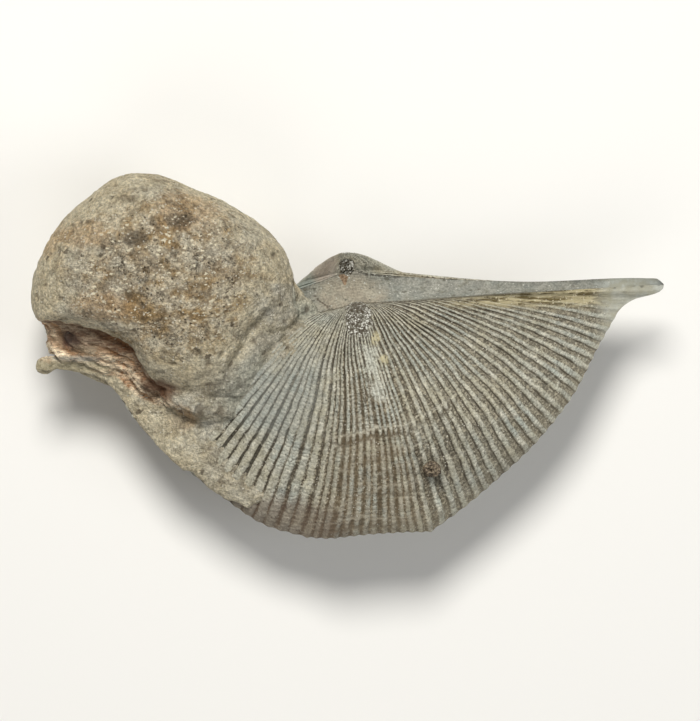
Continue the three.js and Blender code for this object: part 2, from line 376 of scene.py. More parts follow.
def dome_height(x, y):
    """The upper valve's dome, from a point's direction and its share of the way to the edge."""
    down = np.maximum(hinge_y(x) - y, 0)
    angle = np.arctan2(down, x)
    share = np.clip(np.hypot(x, down) / np.interp(angle, EDGE_ANGLE, EDGE_REACH), 0, 1)
    dome = np.maximum(np.sin(np.pi * share ** 0.55), 0) ** 0.75
    return UPPER_HEIGHT * np.maximum(np.sin(angle), 0) ** 0.8 * dome


def upper_base(rib, along):
    """The upper valve without its ribs: rib number and place along the rib to a point."""
    edge = outline(rib)
    from_tip = tip_distance(rib)
    outer = np.clip(1 - from_tip / HINGE_RIBS, 0, 1)
    start_x = np.where(edge[..., 0] > 0, HINGE_START[1], HINGE_START[0]) * outer
    start_y = hinge_y(start_x)
    left = fade(RIB_COUNT / 2 - 4, RIB_COUNT / 2 + 8, rib)
    x_power = 0.72 + 0.08 * left + (0.28 - 0.08 * left) * outer
    y_power = 1.35 - 0.12 * left - (0.35 - 0.12 * left) * outer
    swing = fade(FLANK - 2, FLANK + 7, rib) * fade(RIB_COUNT - 6, RIB_COUNT - 14, rib)
    x = start_x + (edge[..., 0] - start_x) * along ** x_power
    x = x + RIB_SWING * swing * np.sin(np.pi * along ** 1.4)
    y = start_y + (edge[..., 1] - start_y) * along ** y_power
    y = y + (hinge_y(x) - y) * fade(1.2, 0, from_tip)
    fold = FOLD_RISE * fold_at(x, y) * np.maximum(np.sin(np.pi * along ** 1.3), 0)
    z = edge_lift(rib) * along + dome_height(x, y) + fold
    umbo = fade(0, 0.02, along) * fade(0.3, 0.06, along) * fullness(rib) * (1 - outer)
    return np.stack([x + 0.7 * umbo, y + 1.1 * umbo, z], axis=-1)


print("the dome's top:", upper_base(np.array([RIB_COUNT / 2]), np.array([0.33])).round(1))

# %% The lower valve's bowl
# Its profile down the middle: place along it, y and z in the shell's own frame.
BELLY = np.array([
    (0, 5.6, -0.8), (0.04, 7.4, -1.4), (0.1, 7.9, -4), (0.18, 6.2, -7.4), (0.3, 1.2, -10.8),
    (0.46, -6, -12.6), (0.56, -12.5, -13), (0.7, -19.5, -11.6), (0.86, -27, -6.8),
    (1, -31.4, 0)])
belly_line = smooth_line(BELLY)[0]


def lower_base(rib, along):
    """The lower valve without its ribs. Its outer edge ribs are the straight beak ridges."""
    beak_x, beak_y, beak_z = LOWER_BEAK
    edge = outline(rib)
    full = fullness(rib)
    profile_y = np.interp(along, belly_line[:, 0], belly_line[:, 1])
    profile_z = np.interp(along, belly_line[:, 0], belly_line[:, 2])
    straight_y = beak_y + (BELLY[-1, 1] - beak_y) * along
    straight_z = beak_z * (1 - along)
    x = beak_x + (edge[..., 0] - beak_x) * along ** 0.8
    y = beak_y + (edge[..., 1] - beak_y) * along ** (0.65 + 0.35 * full)
    y = y + (profile_y - straight_y) * full ** 1.12
    ridge = -RIDGE_DROP * (1 - full) * (1 - along) * fade(0, 0.16, along)
    sulcus = 1.6 * fold_at(x, y) * np.maximum(np.sin(np.pi * along ** 1.6), 0)
    arch = edge_lift(rib) * fade(0.5, 1, along)
    y = y + 0.85 * (1 - full) ** 6 * fade(0.45, 0.9, along) * fade(1.0, 0.97, along) ** 0.5
    z = straight_z + (profile_z - straight_z) * full + ridge + sulcus + arch
    from_tip = tip_distance(rib)
    wing = fade(0, 1.2, from_tip) * fade(0, 0.06, along) * np.clip(9 * (1 - along), 0, 1) ** 0.5
    z = z - 1.1 * (1 - full) ** 2 * wing
    return np.stack([x, y, z], axis=-1)


def outward(base, rib, along, side):
    """Unit normals of a base surface, from the two directions along it."""
    step = 1e-3
    rib_a = np.clip(rib - step * RIB_COUNT, 0, RIB_COUNT)
    rib_b = np.clip(rib + step * RIB_COUNT, 0, RIB_COUNT)
    across = base(rib_b, along) - base(rib_a, along)
    inner = np.clip(along, 0.004, 1)
    length = base(rib, np.clip(inner + step, 0, 1)) - base(rib, inner - step)
    normal = np.cross(across, length) * side
    size = np.linalg.norm(normal, axis=1, keepdims=True)
    return normal / np.maximum(size, 1e-9)


middle_rib, a_third = np.array([RIB_COUNT / 2]), np.array([0.33])
middle = upper_base(middle_rib, a_third)
print("top of the upper valve:", middle.round(2))
print("normal there:", outward(upper_base, middle_rib, a_third, 1).round(2))

# %% [markdown]
# ## Ribs and growth steps
# A rib is a wave across the shell. On the right its crests are narrow with wide grooves between,
# and on the worn left side they are broad with narrow grooves. The shell also grew in steps: each
# step is a low rise that ends in a sharp, ragged drop.

# %% Rib and growth relief
rng = np.random.default_rng(11)
rib_strength = rng.uniform(0.7, 1.25, RIB_COUNT + 2)
rib_shift = rng.uniform(-0.12, 0.12, RIB_COUNT + 2)
GROWTH_STEPS = [(0.34, 0.07), (0.47, 0.09), (0.55, 0.08), (0.63, 0.26), (0.71, 0.1), (0.77, 0.12),
                (0.84, 0.12), (0.9, 0.12), (0.948, 0.16)]


def rib_number(rib):
    return np.clip(np.rint(rib), 0, RIB_COUNT).astype(int)


def rib_phase(rib):
    """How far a place is from the middle of its rib, in ribs."""
    number = rib_number(rib)
    return rib - number - rib_shift[number]


def rib_crest(rib, breadth):
    """1 on a rib's crest and 0 in the groove, for crests of the given breadth."""
    away = np.abs(rib_phase(rib)) * 2
    return fade(np.minimum(breadth + 0.4, 1.02), breadth - 0.3, away)


def shadow_and_groove_line(rib):
    """1 along the dark line in each groove: painted shadow close under the crest on the right
    flank, and a dark line down the middle of each groove on the fold and the left flank.
    """
    phase = rib_phase(rib)
    right = fade(FLANK + 3, FLANK - 3, rib)
    return right * bump(0.31, 0.13, phase) + (1 - right) * bump(0.5, 0.14, np.abs(phase))


def rib_height(rib, along):
    from_tip = tip_distance(rib)
    on_fold = fade(FLANK - 1.5, FLANK + 1.5, rib) * fade(RIB_COUNT - FLANK + 1.5,
                                                         RIB_COUNT - FLANK - 1.5, rib)
    height = (0.44 - 0.10 * on_fold) * rib_strength[rib_number(rib)]
    return height * fade(PLAIN_TIP, PLAIN_TIP + 7, from_tip) * fade(0.02, 0.34, along)


def edge_shift(rib):
    """How the ribs scallop the edge that both valves share."""
    edge = outline(rib)
    wave = np.cos(2 * np.pi * rib) * fade(4, 10, tip_distance(rib))
    out = edge / np.maximum(np.linalg.norm(edge, axis=1, keepdims=True), 1)
    return np.concatenate([out * 0.07 * wave[:, None], 0.11 * wave[:, None]], axis=1)


def growth_relief(along, crest, places):
    """The height of the growth steps, and a painted-light mark: 1 for a painted highlight on a
    step's edge, -1 for painted shadow just below it.
    """
    ragged = 0.016 * noise(places, 3.0, seed=5) + 0.012 * noise(places, 1.0, seed=6)
    here = along + ragged - 0.01 * crest
    central = 0.15 + 0.85 * fade(17, 8, np.abs(places[:, 0] - 2))
    height = np.zeros(len(along))
    step_shading = np.zeros(len(along))
    for number, (step, size) in enumerate(GROWTH_STEPS):
        strength = size * (0.55 + 0.6 * noise(places, 9.0, seed=20 + number, octaves=1))
        strength = np.maximum(strength, 0)
        rise = fade(step - 0.07, step, here) * fade(step + 0.009, step, here)
        height += strength * rise
        # Painted light at the step: a highlight on its edge and a shadow just below it.
        edge = bump(step - 0.006, 0.011, here) - bump(step + 0.014, 0.011, here)
        step_shading += edge * strength / 0.2 * central
    return height, step_shading


print(RIB_COUNT, "ribs with the plain tips, and", len(GROWTH_STEPS), "growth steps")

# %% [markdown]
# ## Materials from layers
# Every finish is stone, but no two patches of a fossil match. A material is mixed in layers: a
# base colour, broad patches over it, then the colour of grooves, stains, grit and glints. Patterns
# read the piece's own coordinates in millimetres, so they have the same size everywhere.

# %% Material helpers
def rgb(red, green, blue):
    """A paint-chart colour, 0 to 255, as the linear colour that a shader wants."""
    share = np.array([red, green, blue]) / 255
    linear = np.where(share < 0.04045, share / 12.92, ((share + 0.055) / 1.055) ** 2.4)
    return (*[float(value) for value in linear], 1.0)


class Nodes:
    """A material's nodes: each method adds a node and returns its output."""

    def __init__(self, name):
        self.material = bpy.data.materials.new(name)
        self.material.use_nodes = True
        self.tree = self.material.node_tree
        self.shader = self.tree.nodes["Principled BSDF"]
        coordinates = self.tree.nodes.new("ShaderNodeTexCoord").outputs["Object"]
        self.place = self.scaled(coordinates, (1 / MM,) * 3)

    def put(self, socket, value):
        if isinstance(value, bpy.types.NodeSocket):
            self.tree.links.new(value, socket)
        else:
            socket.default_value = value

    def scaled(self, vector, scale, turn=(0, 0, 0)):
        node = self.tree.nodes.new("ShaderNodeMapping")
        self.put(node.inputs["Vector"], vector)
        node.inputs["Scale"].default_value = scale
        node.inputs["Rotation"].default_value = turn
        return node.outputs["Vector"]

    def mark(self, name):
        node = self.tree.nodes.new("ShaderNodeAttribute")
        node.attribute_name = name
        return node.outputs["Fac"]

    def maths(self, operation, first, second=0.0):
        node = self.tree.nodes.new("ShaderNodeMath")
        node.operation = operation
        self.put(node.inputs[0], first)
        self.put(node.inputs[1], second)
        return node.outputs[0]

    def fade(self, value, start, end):
        node = self.tree.nodes.new("ShaderNodeMapRange")
        node.interpolation_type = "SMOOTHSTEP"
        self.put(node.inputs["Value"], value)
        low, high = min(start, end), max(start, end)
        node.inputs["From Min"].default_value = low
        node.inputs["From Max"].default_value = high
        node.inputs["To Min"].default_value = 0.0 if start < end else 1.0
        node.inputs["To Max"].default_value = 1.0 if start < end else 0.0
        return node.outputs["Result"]

    def plus(self, first, second):
        return self.maths("ADD", first, second)

    def minus(self, first, second):
        return self.maths("SUBTRACT", first, second)

    def times(self, *factors):
        total = factors[0]
        for factor in factors[1:]:
            total = self.maths("MULTIPLY", total, factor)
        return total

    def vectors(self, operation, *values):
        node = self.tree.nodes.new("ShaderNodeVectorMath")
        node.operation = operation
        for socket, value in zip(node.inputs, values):
            self.put(socket, value)
        return node.outputs["Value" if operation == "LENGTH" else "Vector"]

    def mix(self, factor, first, second):
        node = self.tree.nodes.new("ShaderNodeMix")
        node.data_type = "RGBA"
        self.put(node.inputs[0], factor)
        self.put(node.inputs[6], first)
        self.put(node.inputs[7], second)
        return node.outputs[2]

    def noise(self, size, detail=2.0, rough=0.5, stretch=(1, 1, 1), turn=(0, 0, 0)):
        node = self.tree.nodes.new("ShaderNodeTexNoise")
        self.put(node.inputs["Vector"], self.scaled(self.place, stretch, turn))
        node.inputs["Scale"].default_value = 1 / size
        node.inputs["Detail"].default_value = detail
        node.inputs["Roughness"].default_value = rough
        return node.outputs["Fac"]


print("white as a linear colour:", rgb(255, 255, 255))

# %% Layers of stone
class Finish(Nodes):
    """A material being mixed from grains, specks, spots and coats of paint."""

    def uneven(self, size):
        """The place in mm, shifted a little by noise, so that grains get ragged outlines."""
        wave = self.tree.nodes.new("ShaderNodeTexNoise")
        self.put(wave.inputs["Vector"], self.place)
        wave.inputs["Scale"].default_value = 2.2 / size
        wave.inputs["Detail"].default_value = 2.0
        return self.vectors("MULTIPLY_ADD", wave.outputs["Color"], (0.9 * size,) * 3, self.place)

    def grains(self, size, stretch=(1, 1, 1), turn=(0, 0, 0)):
        """Scattered grains: how far to a grain's middle, and a random value for each."""
        node = self.tree.nodes.new("ShaderNodeTexVoronoi")
        self.put(node.inputs["Vector"], self.scaled(self.uneven(size), stretch, turn))
        node.inputs["Scale"].default_value = 1 / size
        split = self.tree.nodes.new("ShaderNodeSeparateColor")
        self.put(split.inputs[0], node.outputs["Color"])
        return node.outputs["Distance"], split.outputs[0], split.outputs[1]

    def specks(self, size, share, stretch=(1, 1, 1), turn=(0, 0, 0)):
        """A mask of small separate specks that cover about the given share of the grains."""
        distance, chance, other = self.grains(size, stretch, turn)
        chosen = self.maths("LESS_THAN", chance, share)
        big = self.maths("MULTIPLY_ADD", other, 0.3)
        self.tree.nodes[-1].inputs[2].default_value = 0.12
        edge = self.minus(big, distance)
        return self.times(chosen, self.fade(edge, -0.06, 0.08))

    def spot(self, centre, radii, wobble=0.0):
        """1 near a place in mm, fading out at the given radii, with an uneven rim."""
        away = self.vectors("DIVIDE", self.vectors("SUBTRACT", self.place, centre), radii)
        distance = self.vectors("LENGTH", away)
        if wobble:
            rim = self.times(self.minus(self.noise(1.6, 4, 0.7), 0.5), wobble)
            distance = self.plus(distance, rim)
        return self.fade(distance, 1.25, 0.55)

    def coat(self, colour, paint, *masks):
        """Puts a paint or another colour over a colour, by the product of the masks."""
        if isinstance(paint, tuple):
            paint = rgb(*paint)
        return self.mix(self.times(*masks), colour, paint)

    def stain(self, colour, stains):
        """Stains: a paint, a centre, radii, how uneven the rim is, and a strength."""
        for paint, centre, radii, uneven, strength in stains:
            colour = self.coat(colour, paint, self.spot(centre, radii, uneven), strength)
        return colour

    def blend(self, first, second, value, start, end):
        """One paint that turns into another as a value goes from start to end."""
        return self.mix(self.fade(value, start, end), rgb(*first), rgb(*second))

    def shade(self, colour, value, low, high):
        """Darkens a colour to the factor low, or lightens it to high, as a value goes 0 to 1."""
        amount = self.tree.nodes.new("ShaderNodeMapRange")
        self.put(amount.inputs["Value"], value)
        self.put(amount.inputs["To Min"], low)
        self.put(amount.inputs["To Max"], high)
        amount = amount.outputs["Result"]
        node = self.tree.nodes.new("ShaderNodeVectorMath")
        node.operation = "SCALE"
        self.put(node.inputs[0], colour)
        self.put(node.inputs["Scale"], amount)
        return node.outputs[0]

    def done(self, colour, roughness, height, depth):
        """Joins the layers to the shader; depth is the height of the relief in mm."""
        node = self.tree.nodes.new("ShaderNodeBump")
        node.inputs["Strength"].default_value = 1.0
        node.inputs["Distance"].default_value = depth * MM
        self.put(node.inputs["Height"], height)
        self.put(self.shader.inputs["Normal"], node.outputs["Normal"])
        self.put(self.shader.inputs["Base Color"], colour)
        self.put(self.shader.inputs["Roughness"], roughness)
        self.shader.inputs["Specular IOR Level"].default_value = 0.35
        return self.material


print("a finish has these helpers:", [name for name in vars(Finish) if name[0] != "_"])

# %% [markdown]
# ## The four finishes
# The shell is grey calcite. Its crests are worn pale, and its grooves hold dark grit. Painted
# shadow lies under each crest on the right flank, and each growth step has a painted highlight
# on its edge with painted shadow below it. The rock is a sandy limestone: creamy round its rim and
# browner in its middle, with pale glinting shell fragments, dark grains and rusty stains. Under its
# overhang a painted shadow darkens the rusty hollow. The worm tube is a darker brown lime.

# %% What both valves' finishes share
def shell_layers(f):
    """The colours and relief both valves share."""
    broad = f.noise(7.0, 2)
    mid = f.noise(1.8, 3, 0.6)
    grit = f.noise(0.32, 2, 0.65)
    crest = f.mark("crest")
    ragged = f.plus(crest, f.times(f.minus(grit, 0.5), 0.9))
    on_crest = f.fade(ragged, 0.15, 0.85)
    grey = f.blend((177, 172, 151), (170, 173, 162), broad, 0.4, 0.62)
    crest_colour = f.coat(grey, (193, 190, 174), f.fade(mid, 0.35, 0.7))
    dark = f.blend((82, 72, 54), (106, 99, 84), mid, 0.35, 0.65)
    groove = f.coat(dark, (146, 138, 118), f.fade(grit, 0.42, 0.6))
    groove = f.coat(groove, (146, 142, 126), f.mark("pale"), 0.36)
    clean = f.fade(f.mark("along"), 0.8, 0.95)
    groove = f.coat(groove, (146, 140, 121), clean, 0.15)
    filled = f.times(f.fade(f.noise(2.2, 5, 0.7), 0.54, 0.66), 0.5)
    groove = f.coat(groove, crest_colour, filled)
    colour = f.coat(groove, crest_colour, on_crest)
    # The dark groove line: painted shadow close under each crest on the right flank, and a dark
    # line down the middle of the other grooves.
    patchy = f.fade(f.plus(f.noise(1.3, 3, 0.6), f.times(f.mark("line"), 0.3)), 0.5, 0.7)
    line = f.times(f.fade(f.plus(f.mark("line"), f.times(grit, 0.8)), 0.75, 1.15), patchy,
                   f.minus(1.0, filled))
    colour = f.coat(colour, (58, 50, 37), line, 0.92)
    colour = f.shade(colour, f.fade(grit, 0.36, 0.64), 0.74, 1.18)
    colour = f.shade(colour, f.fade(f.noise(0.8, 4, 0.7), 0.36, 0.64), 0.80, 1.12)
    # Painted highlight along each growth step's edge, and painted shadow just below it.
    step_shading = f.fade(f.mark("step_shading"), 0.2, 0.8)
    colour = f.coat(colour, (212, 207, 188), step_shading, 0.7)
    below = f.fade(f.times(f.mark("step_shading"), -1.0), 0.2, 0.7)
    colour = f.coat(colour, (74, 64, 48), below, 0.75)
    height = f.plus(f.times(grit, 0.5), f.times(f.noise(0.13, 1), 0.25))
    steps = f.plus(f.times(f.mark("growth"), 62.0), f.times(mid, 3.0))
    steps = f.plus(steps, f.times(crest, 0.25))
    lines = f.fade(f.maths("FRACT", steps), 0.0, 0.7)
    height = f.plus(height, f.times(lines, 0.45))
    scaly = f.times(f.fade(lines, 0.25, 0.0), f.fade(broad, 0.35, 0.6), 0.45)
    colour = f.coat(colour, (84, 77, 62), scaly)
    return colour, height, grit, mid, on_crest


def add_specks(f, colour, pale, dark, size=0.24):
    colour = f.coat(colour, (214, 210, 194), f.specks(size, pale), 0.8)
    darks = f.specks(size * 1.15, dark, turn=(0.4, 0.2, 0.9))
    return f.coat(colour, (58, 51, 41), darks, 0.8)


def crystal_colour(f, size=0.26):
    distance, chance, other = f.grains(size)
    lit = f.blend((78, 71, 57), (164, 163, 151), chance, 0.25, 0.8)
    lit = f.coat(lit, (226, 225, 216), f.maths("GREATER_THAN", other, 0.72))
    return f.coat(lit, (68, 58, 43), f.fade(distance, 0.4, 0.75))


print("finishes are mixed when the pieces are made")

# %% The upper valve's finish
BLUE_FLANK = ((150, 154, 148), (-9, -4, 18), (7, 8, 9), 0.6, 0.35)
BROWN_FRONT = ((92, 72, 58), (-11, -23.4, 14), (13, 4.4, 8), 0.5, 0.55)
DUSKY_PLACES = [((-12, -10, 18), (12, 14, 9), 0.86), ((17, -15, 18), (10, 6, 9), 0.82),
                ((0, 3, 20), (6, 5, 6), 0.86)]


def upper_stone():
    f = Finish("upper_shell")
    colour, height, grit, mid, on_crest = shell_layers(f)
    colour = f.coat(colour, (112, 94, 66), f.mark("rust"), f.fade(mid, 0.25, 0.6), 0.5)
    bands = f.noise(0.55, 3, 0.65, (0.16, 1, 1), (0, 0, -0.1))
    olive = f.blend((104, 90, 52), (196, 184, 146), bands, 0.42, 0.56)
    olive = f.coat(olive, (220, 210, 178), f.specks(0.36, 0.4))
    colour = f.coat(colour, olive, f.mark("ochre"), 0.9)
    dotted = f.plus(f.mark("line"), f.times(f.minus(f.noise(0.5, 3, 0.7), 0.5), 2.4))
    blue_black = f.times(f.mark("bold"), f.fade(dotted, 0.7, 1.1))
    colour = f.coat(colour, (84, 83, 72), blue_black, 0.7)
    margin = f.fade(f.mark("along"), 0.90, 0.985)
    colour = f.coat(colour, (141, 133, 113), margin, 0.25)
    colour = add_specks(f, colour, 0.10, 0.12)
    colour = f.stain(colour, [BLUE_FLANK])
    for centre, radii, dark in DUSKY_PLACES:
        colour = f.shade(colour, f.spot(centre, radii, 0.6), 1.0, dark)
    colour = f.stain(colour, [BROWN_FRONT])
    torn_edge = f.plus(f.times(f.mark("streak"), 0.8), f.times(f.noise(0.8, 5, 0.75), 1.6))
    streak = f.times(f.fade(torn_edge, 1.15, 1.45), f.fade(f.mark("streak"), 0.05, 0.35))
    white = f.blend((172, 172, 158), (216, 217, 204), grit, 0.4, 0.55)
    colour = f.coat(colour, white, streak, 0.52)
    for centre, size in (((3.9, 2.4, 20.6), 0.8), ((5.0, -0.7, 21.0), 0.6)):
        yellow = f.spot(centre, (size, size * 1.4, 3), 2.0)
        flaky = f.fade(f.noise(0.6, 4, 0.7), 0.4, 0.5)
        colour = f.coat(colour, (196, 186, 150), f.times(yellow, flaky), 0.8)
    dirt = f.spot((2.4, -6.0, 21), (1.4, 3.6, 3), 2.2)
    colour = f.coat(colour, (82, 73, 56), dirt, f.fade(grit, 0.6, 0.4))
    crystal = f.fade(f.plus(f.mark("crystal"), f.times(on_crest, -0.25)), 0.15, 0.6)
    colour = f.coat(colour, crystal_colour(f), crystal, 0.92)
    top = f.spot((1.5, 7.2, 20), (1.9, 1.5, 5), 0.8)
    top_dirt = f.times(crystal, top, f.fade(grit, 0.62, 0.45))
    colour = f.coat(colour, (70, 59, 40), top_dirt, 0.85)
    plain_tip = f.blend((168, 166, 148), (188, 191, 182), mid, 0.3, 0.7)
    colour = f.coat(colour, plain_tip, f.mark("tip"), 0.8)
    roughness = f.minus(0.68, f.times(f.mark("crystal"), 0.3))
    return f.done(colour, roughness, height, 0.22)


print("places that are duskier than the rest:", len(DUSKY_PLACES))

# %% The lower valve's finish
LOWER_STAINS = [((181, 170, 158), (-3.6, 12.2, 11), (2.6, 2.4, 3.5), 0.6, 0.75),
                ((138, 147, 141), (-6.2, 9.6, 11), (2.0, 3.4, 3.5), 0.7, 0.8)]


def area_colour(f, grit, mid):
    """The smooth grey interarea, with painted shade along its hinge line and its pits by the beak
    ridge.
    """
    warm = f.spot((0.2, 8.4, 12.6), (5.6, 3.4, 4), 0.6)
    plain = f.blend((152, 151, 140), (136, 138, 129), f.noise(3.0, 3), 0.35, 0.65)
    plain = f.coat(plain, (126, 124, 110), f.fade(f.noise(1.2, 5, 0.75), 0.5, 0.7))
    plain = f.coat(plain, f.blend((170, 164, 146), (155, 146, 128), mid, 0.3, 0.7), warm)
    plain = f.shade(plain, f.fade(grit, 0.36, 0.64), 0.76, 1.14)
    plain = f.shade(plain, f.fade(f.noise(0.9, 4, 0.7), 0.38, 0.62), 0.86, 1.08)
    plain = f.coat(plain, (104, 102, 90), f.specks(0.7, 0.16, (0.6, 1, 1)))
    plain = f.coat(plain, (192, 191, 180), f.specks(0.36, 0.14))
    across = f.mark("across")
    far = f.fade(f.mark("along"), 0.02, 0.09)
    near = f.fade(f.mark("along"), 0.3, 0.2)
    ridge_pits = f.times(f.fade(across, 0.88, 0.96), f.fade(grit, 0.6, 0.45), near,
                         f.spot((4.6, 11.2, 11), (3.2, 1.2, 4), 0.5))
    plain = f.coat(plain, (64, 58, 46), ridge_pits, 0.8)
    # A dark band along the hinge line is painted shade, where the upper valve's edge meets the
    # interarea.
    hinge = f.times(f.fade(across, 0.14, 0.04), far, f.fade(f.mark("along"), 0.6, 0.4))
    return f.coat(plain, (78, 71, 50), hinge, 0.85)


def lower_stone():
    f = Finish("lower_shell")
    colour, height, grit, mid = shell_layers(f)[:4]
    patches = f.fade(f.noise(4.5, 4, 0.65), 0.48, 0.6)
    colour = f.coat(colour, (150, 141, 118), patches, 0.55)
    colour = add_specks(f, colour, 0.08, 0.10)
    colour = f.stain(colour, LOWER_STAINS)
    area = f.mark("area")
    colour = f.coat(colour, area_colour(f, grit, mid), area)
    pale_tip = f.blend((170, 169, 152), (188, 192, 184), mid, 0.4, 0.6)
    colour = f.coat(colour, pale_tip, f.mark("tip"), 0.85)
    rusty = f.fade(f.plus(f.mark("notch"), f.times(f.noise(0.6, 4, 0.7), 0.8)), 0.75, 1.05)
    rusty = f.times(rusty, f.fade(f.mark("notch"), 0.02, 0.2))
    red = f.blend((110, 84, 60), (148, 122, 94), grit, 0.4, 0.6)
    colour = f.coat(colour, red, rusty, 0.85)
    ragged_hole = f.plus(f.mark("hole"), f.times(f.noise(0.6, 4, 0.7), 0.9))
    ragged_hole = f.times(f.fade(ragged_hole, 0.7, 1.0), f.fade(f.mark("hole"), 0.02, 0.15))
    colour = f.coat(colour, crystal_colour(f, 0.2), ragged_hole)
    crack = f.fade(f.mark("crack"), 0.3, 0.8)
    colour = f.coat(colour, (74, 64, 50), crack, 0.7)
    smooth = f.times(height, f.minus(1.0, f.times(area, 0.35)))
    return f.done(colour, 0.7, smooth, 0.22)


print("stains on the lower valve:", len(LOWER_STAINS))

# %% The rock's stains
# Each stain is a paint, a centre, radii, how uneven its rim is, and a strength.
TAN, DARK_GREY = (186, 148, 100), (84, 74, 60)
ROCK_STAINS = [
    (TAN, (-22, 20, 22), (5.5, 3, 7), 0.9, 0.38), (TAN, (-36, 16.5, 20), (4.4, 2.2, 7), 0.9, 0.38),
    (TAN, (-41.5, 16, 15), (3, 3, 7), 0.9, 0.38), (TAN, (-33, 6.6, 23), (5, 2.2, 6), 0.9, 0.38),
    (DARK_GREY, (-23, 18.6, 23), (2.4, 1.2, 4), 1.1, 0.7),
    (DARK_GREY, (-29, 16, 24), (1.8, 1.3, 4), 1.1, 0.7),
    ((160, 140, 96), (-19, -6.6, 19), (5.0, 2.4, 5), 0.7, 0.5)]
CRUST_STAINS = [
    ((158, 122, 78), (-23.5, -8.8, 16), (3.0, 2.0, 5), 1.0, 0.7),
    ((166, 168, 154), (-6.8, 7.4, 13), (4.2, 3.2, 4), 0.6, 0.75),
    ((166, 166, 152), (-13.2, -5, 17), (5.5, 6, 6), 0.6, 0.7)]
HOLLOW_STAINS = [
    ((66, 56, 54), (-38.2, 2.4, 15), (2.2, 1.6, 3), 0.8, 0.85),
    ((214, 178, 140), (-40.6, 3.0, 15), (1.2, 2.6, 4), 0.6, 0.4),
    ((176, 158, 128), (-35.5, 1.0, 14), (3.2, 1.2, 3), 0.9, 0.6)]
LOBE_GROOVE = ((108, 72, 46), (-26.4, -4.6, 17.5), (3.4, 1.5, 4), 0.7, 0.8)
WING_LINE = ((140, 146, 142), (-37.2, -0.4, 14), (4.6, 0.5, 2), 0.4, 0.7)
print("stains on the rock:", len(ROCK_STAINS), "and in its hollow:", len(HOLLOW_STAINS))

# %% Rock finish
def crust_colour(f, broad, mid):
    """The thin crust over the left flank."""
    bark = f.blend((166, 158, 136), (198, 193, 176), mid, 0.35, 0.65)
    bark = f.coat(bark, (150, 139, 117), f.fade(broad, 0.42, 0.6), 0.5)
    return f.stain(bark, CRUST_STAINS)


def torn_colour(f, mid):
    """The torn layers in the hollow."""
    torn = f.blend((158, 118, 82), (252, 234, 202), f.mark("strata"), -0.45, 0.5)
    leaf = f.noise(0.7, 5, 0.8, (0.3, 1.6, 1.2), (0, 0, 0.6))
    torn = f.shade(torn, f.fade(leaf, 0.42, 0.56), 0.55, 1.65)
    torn = f.coat(torn, (178, 116, 70), f.fade(mid, 0.52, 0.66), 0.6)
    torn = f.coat(torn, (240, 226, 200), f.specks(0.4, 0.16, (0.6, 1.5, 1), (0, 0, 0.6)))
    torn = f.stain(torn, HOLLOW_STAINS)
    # Near the overhang's edge the hollow is painted a dark rusty brown: painted shadow under the
    # overhang, over rust.
    return f.coat(torn, (106, 68, 42), f.mark("rust_and_overhang_shadow"), 0.72)


def matrix_stone():
    f = Finish("limestone_matrix")
    broad = f.noise(9.0, 3, 0.55)
    mid = f.noise(2.6, 4, 0.62)
    grit = f.noise(0.42, 3, 0.75)
    fine = f.noise(0.16, 2, 0.6)
    middle = f.spot((-25.5, 11, 24), (13.5, 11.5, 14), 1.2)
    rim = f.blend((191, 178, 148), (200, 190, 163), mid, 0.35, 0.65)
    heart = f.blend((154, 130, 92), (192, 180, 155), mid, 0.38, 0.62)
    colour = f.coat(rim, heart, middle)
    colour = f.coat(colour, (171, 168, 154), f.fade(broad, 0.5, 0.68), 0.45)
    brown = f.fade(f.noise(3.4, 5, 0.7), 0.52, 0.66)
    colour = f.coat(colour, (122, 98, 64), brown, middle, 0.6)
    colour = f.stain(colour, ROCK_STAINS)
    crusty = f.mark("crusty")
    colour = f.coat(colour, crust_colour(f, broad, mid), crusty)
    low = f.minus(0.76, f.times(middle, 0.12))
    colour = f.shade(colour, f.fade(grit, 0.38, 0.62), low, 1.3)
    colour = f.shade(colour, f.fade(f.noise(1.1, 5, 0.75), 0.38, 0.6), 0.84, 1.2)

    busy = f.times(middle, f.minus(1.0, f.times(crusty, 0.8)))
    glint = f.specks(0.66, 0.55, (0.8, 1.6, 1), (0, 0, 0.6))
    colour = f.coat(colour, (240, 230, 202), glint, f.plus(f.times(busy, 0.8), 0.18))
    colour = f.coat(colour, (230, 224, 206), f.specks(0.36, 0.28), 0.8)
    dark = f.times(f.specks(0.42, 0.18, turn=(0.3, 0.8, 0.2)), f.plus(f.times(busy, 0.6), 0.3))
    colour = f.coat(colour, (62, 52, 38), dark)
    wavy = f.maths("ABSOLUTE", f.minus(f.noise(4.2, 5, 0.7), 0.5))
    cracked = f.times(f.fade(wavy, 0.012, 0.004), f.fade(f.noise(5.0, 1), 0.5, 0.56), busy)
    colour = f.coat(colour, (70, 58, 42), cracked, 0.75)
    colour = f.coat(colour, (74, 62, 46), f.specks(1.1, 0.07, turn=(0.9, 0.1, 0.4)), 0.7)
    colour = f.coat(colour, (88, 74, 54), f.mark("pit"), 0.55)
    colour = f.coat(colour, (80, 68, 52), f.mark("crack"), 0.25)

    colour = f.coat(colour, torn_colour(f, mid), f.mark("hollow"))
    colour = f.stain(colour, [LOBE_GROOVE])
    cream = f.blend((176, 164, 132), (200, 190, 160), grit, 0.35, 0.6)
    colour = f.coat(colour, cream, f.mark("wing"))
    colour = f.stain(colour, [WING_LINE])
    height = f.plus(f.times(grit, 0.7), f.times(fine, 0.35))
    height = f.minus(height, f.times(f.mark("pit"), 0.4))
    height = f.plus(height, f.times(f.noise(0.8, 4, 0.7), 1.2))
    height = f.minus(height, f.times(cracked, 0.4))
    return f.done(colour, 0.82, height, 0.7)

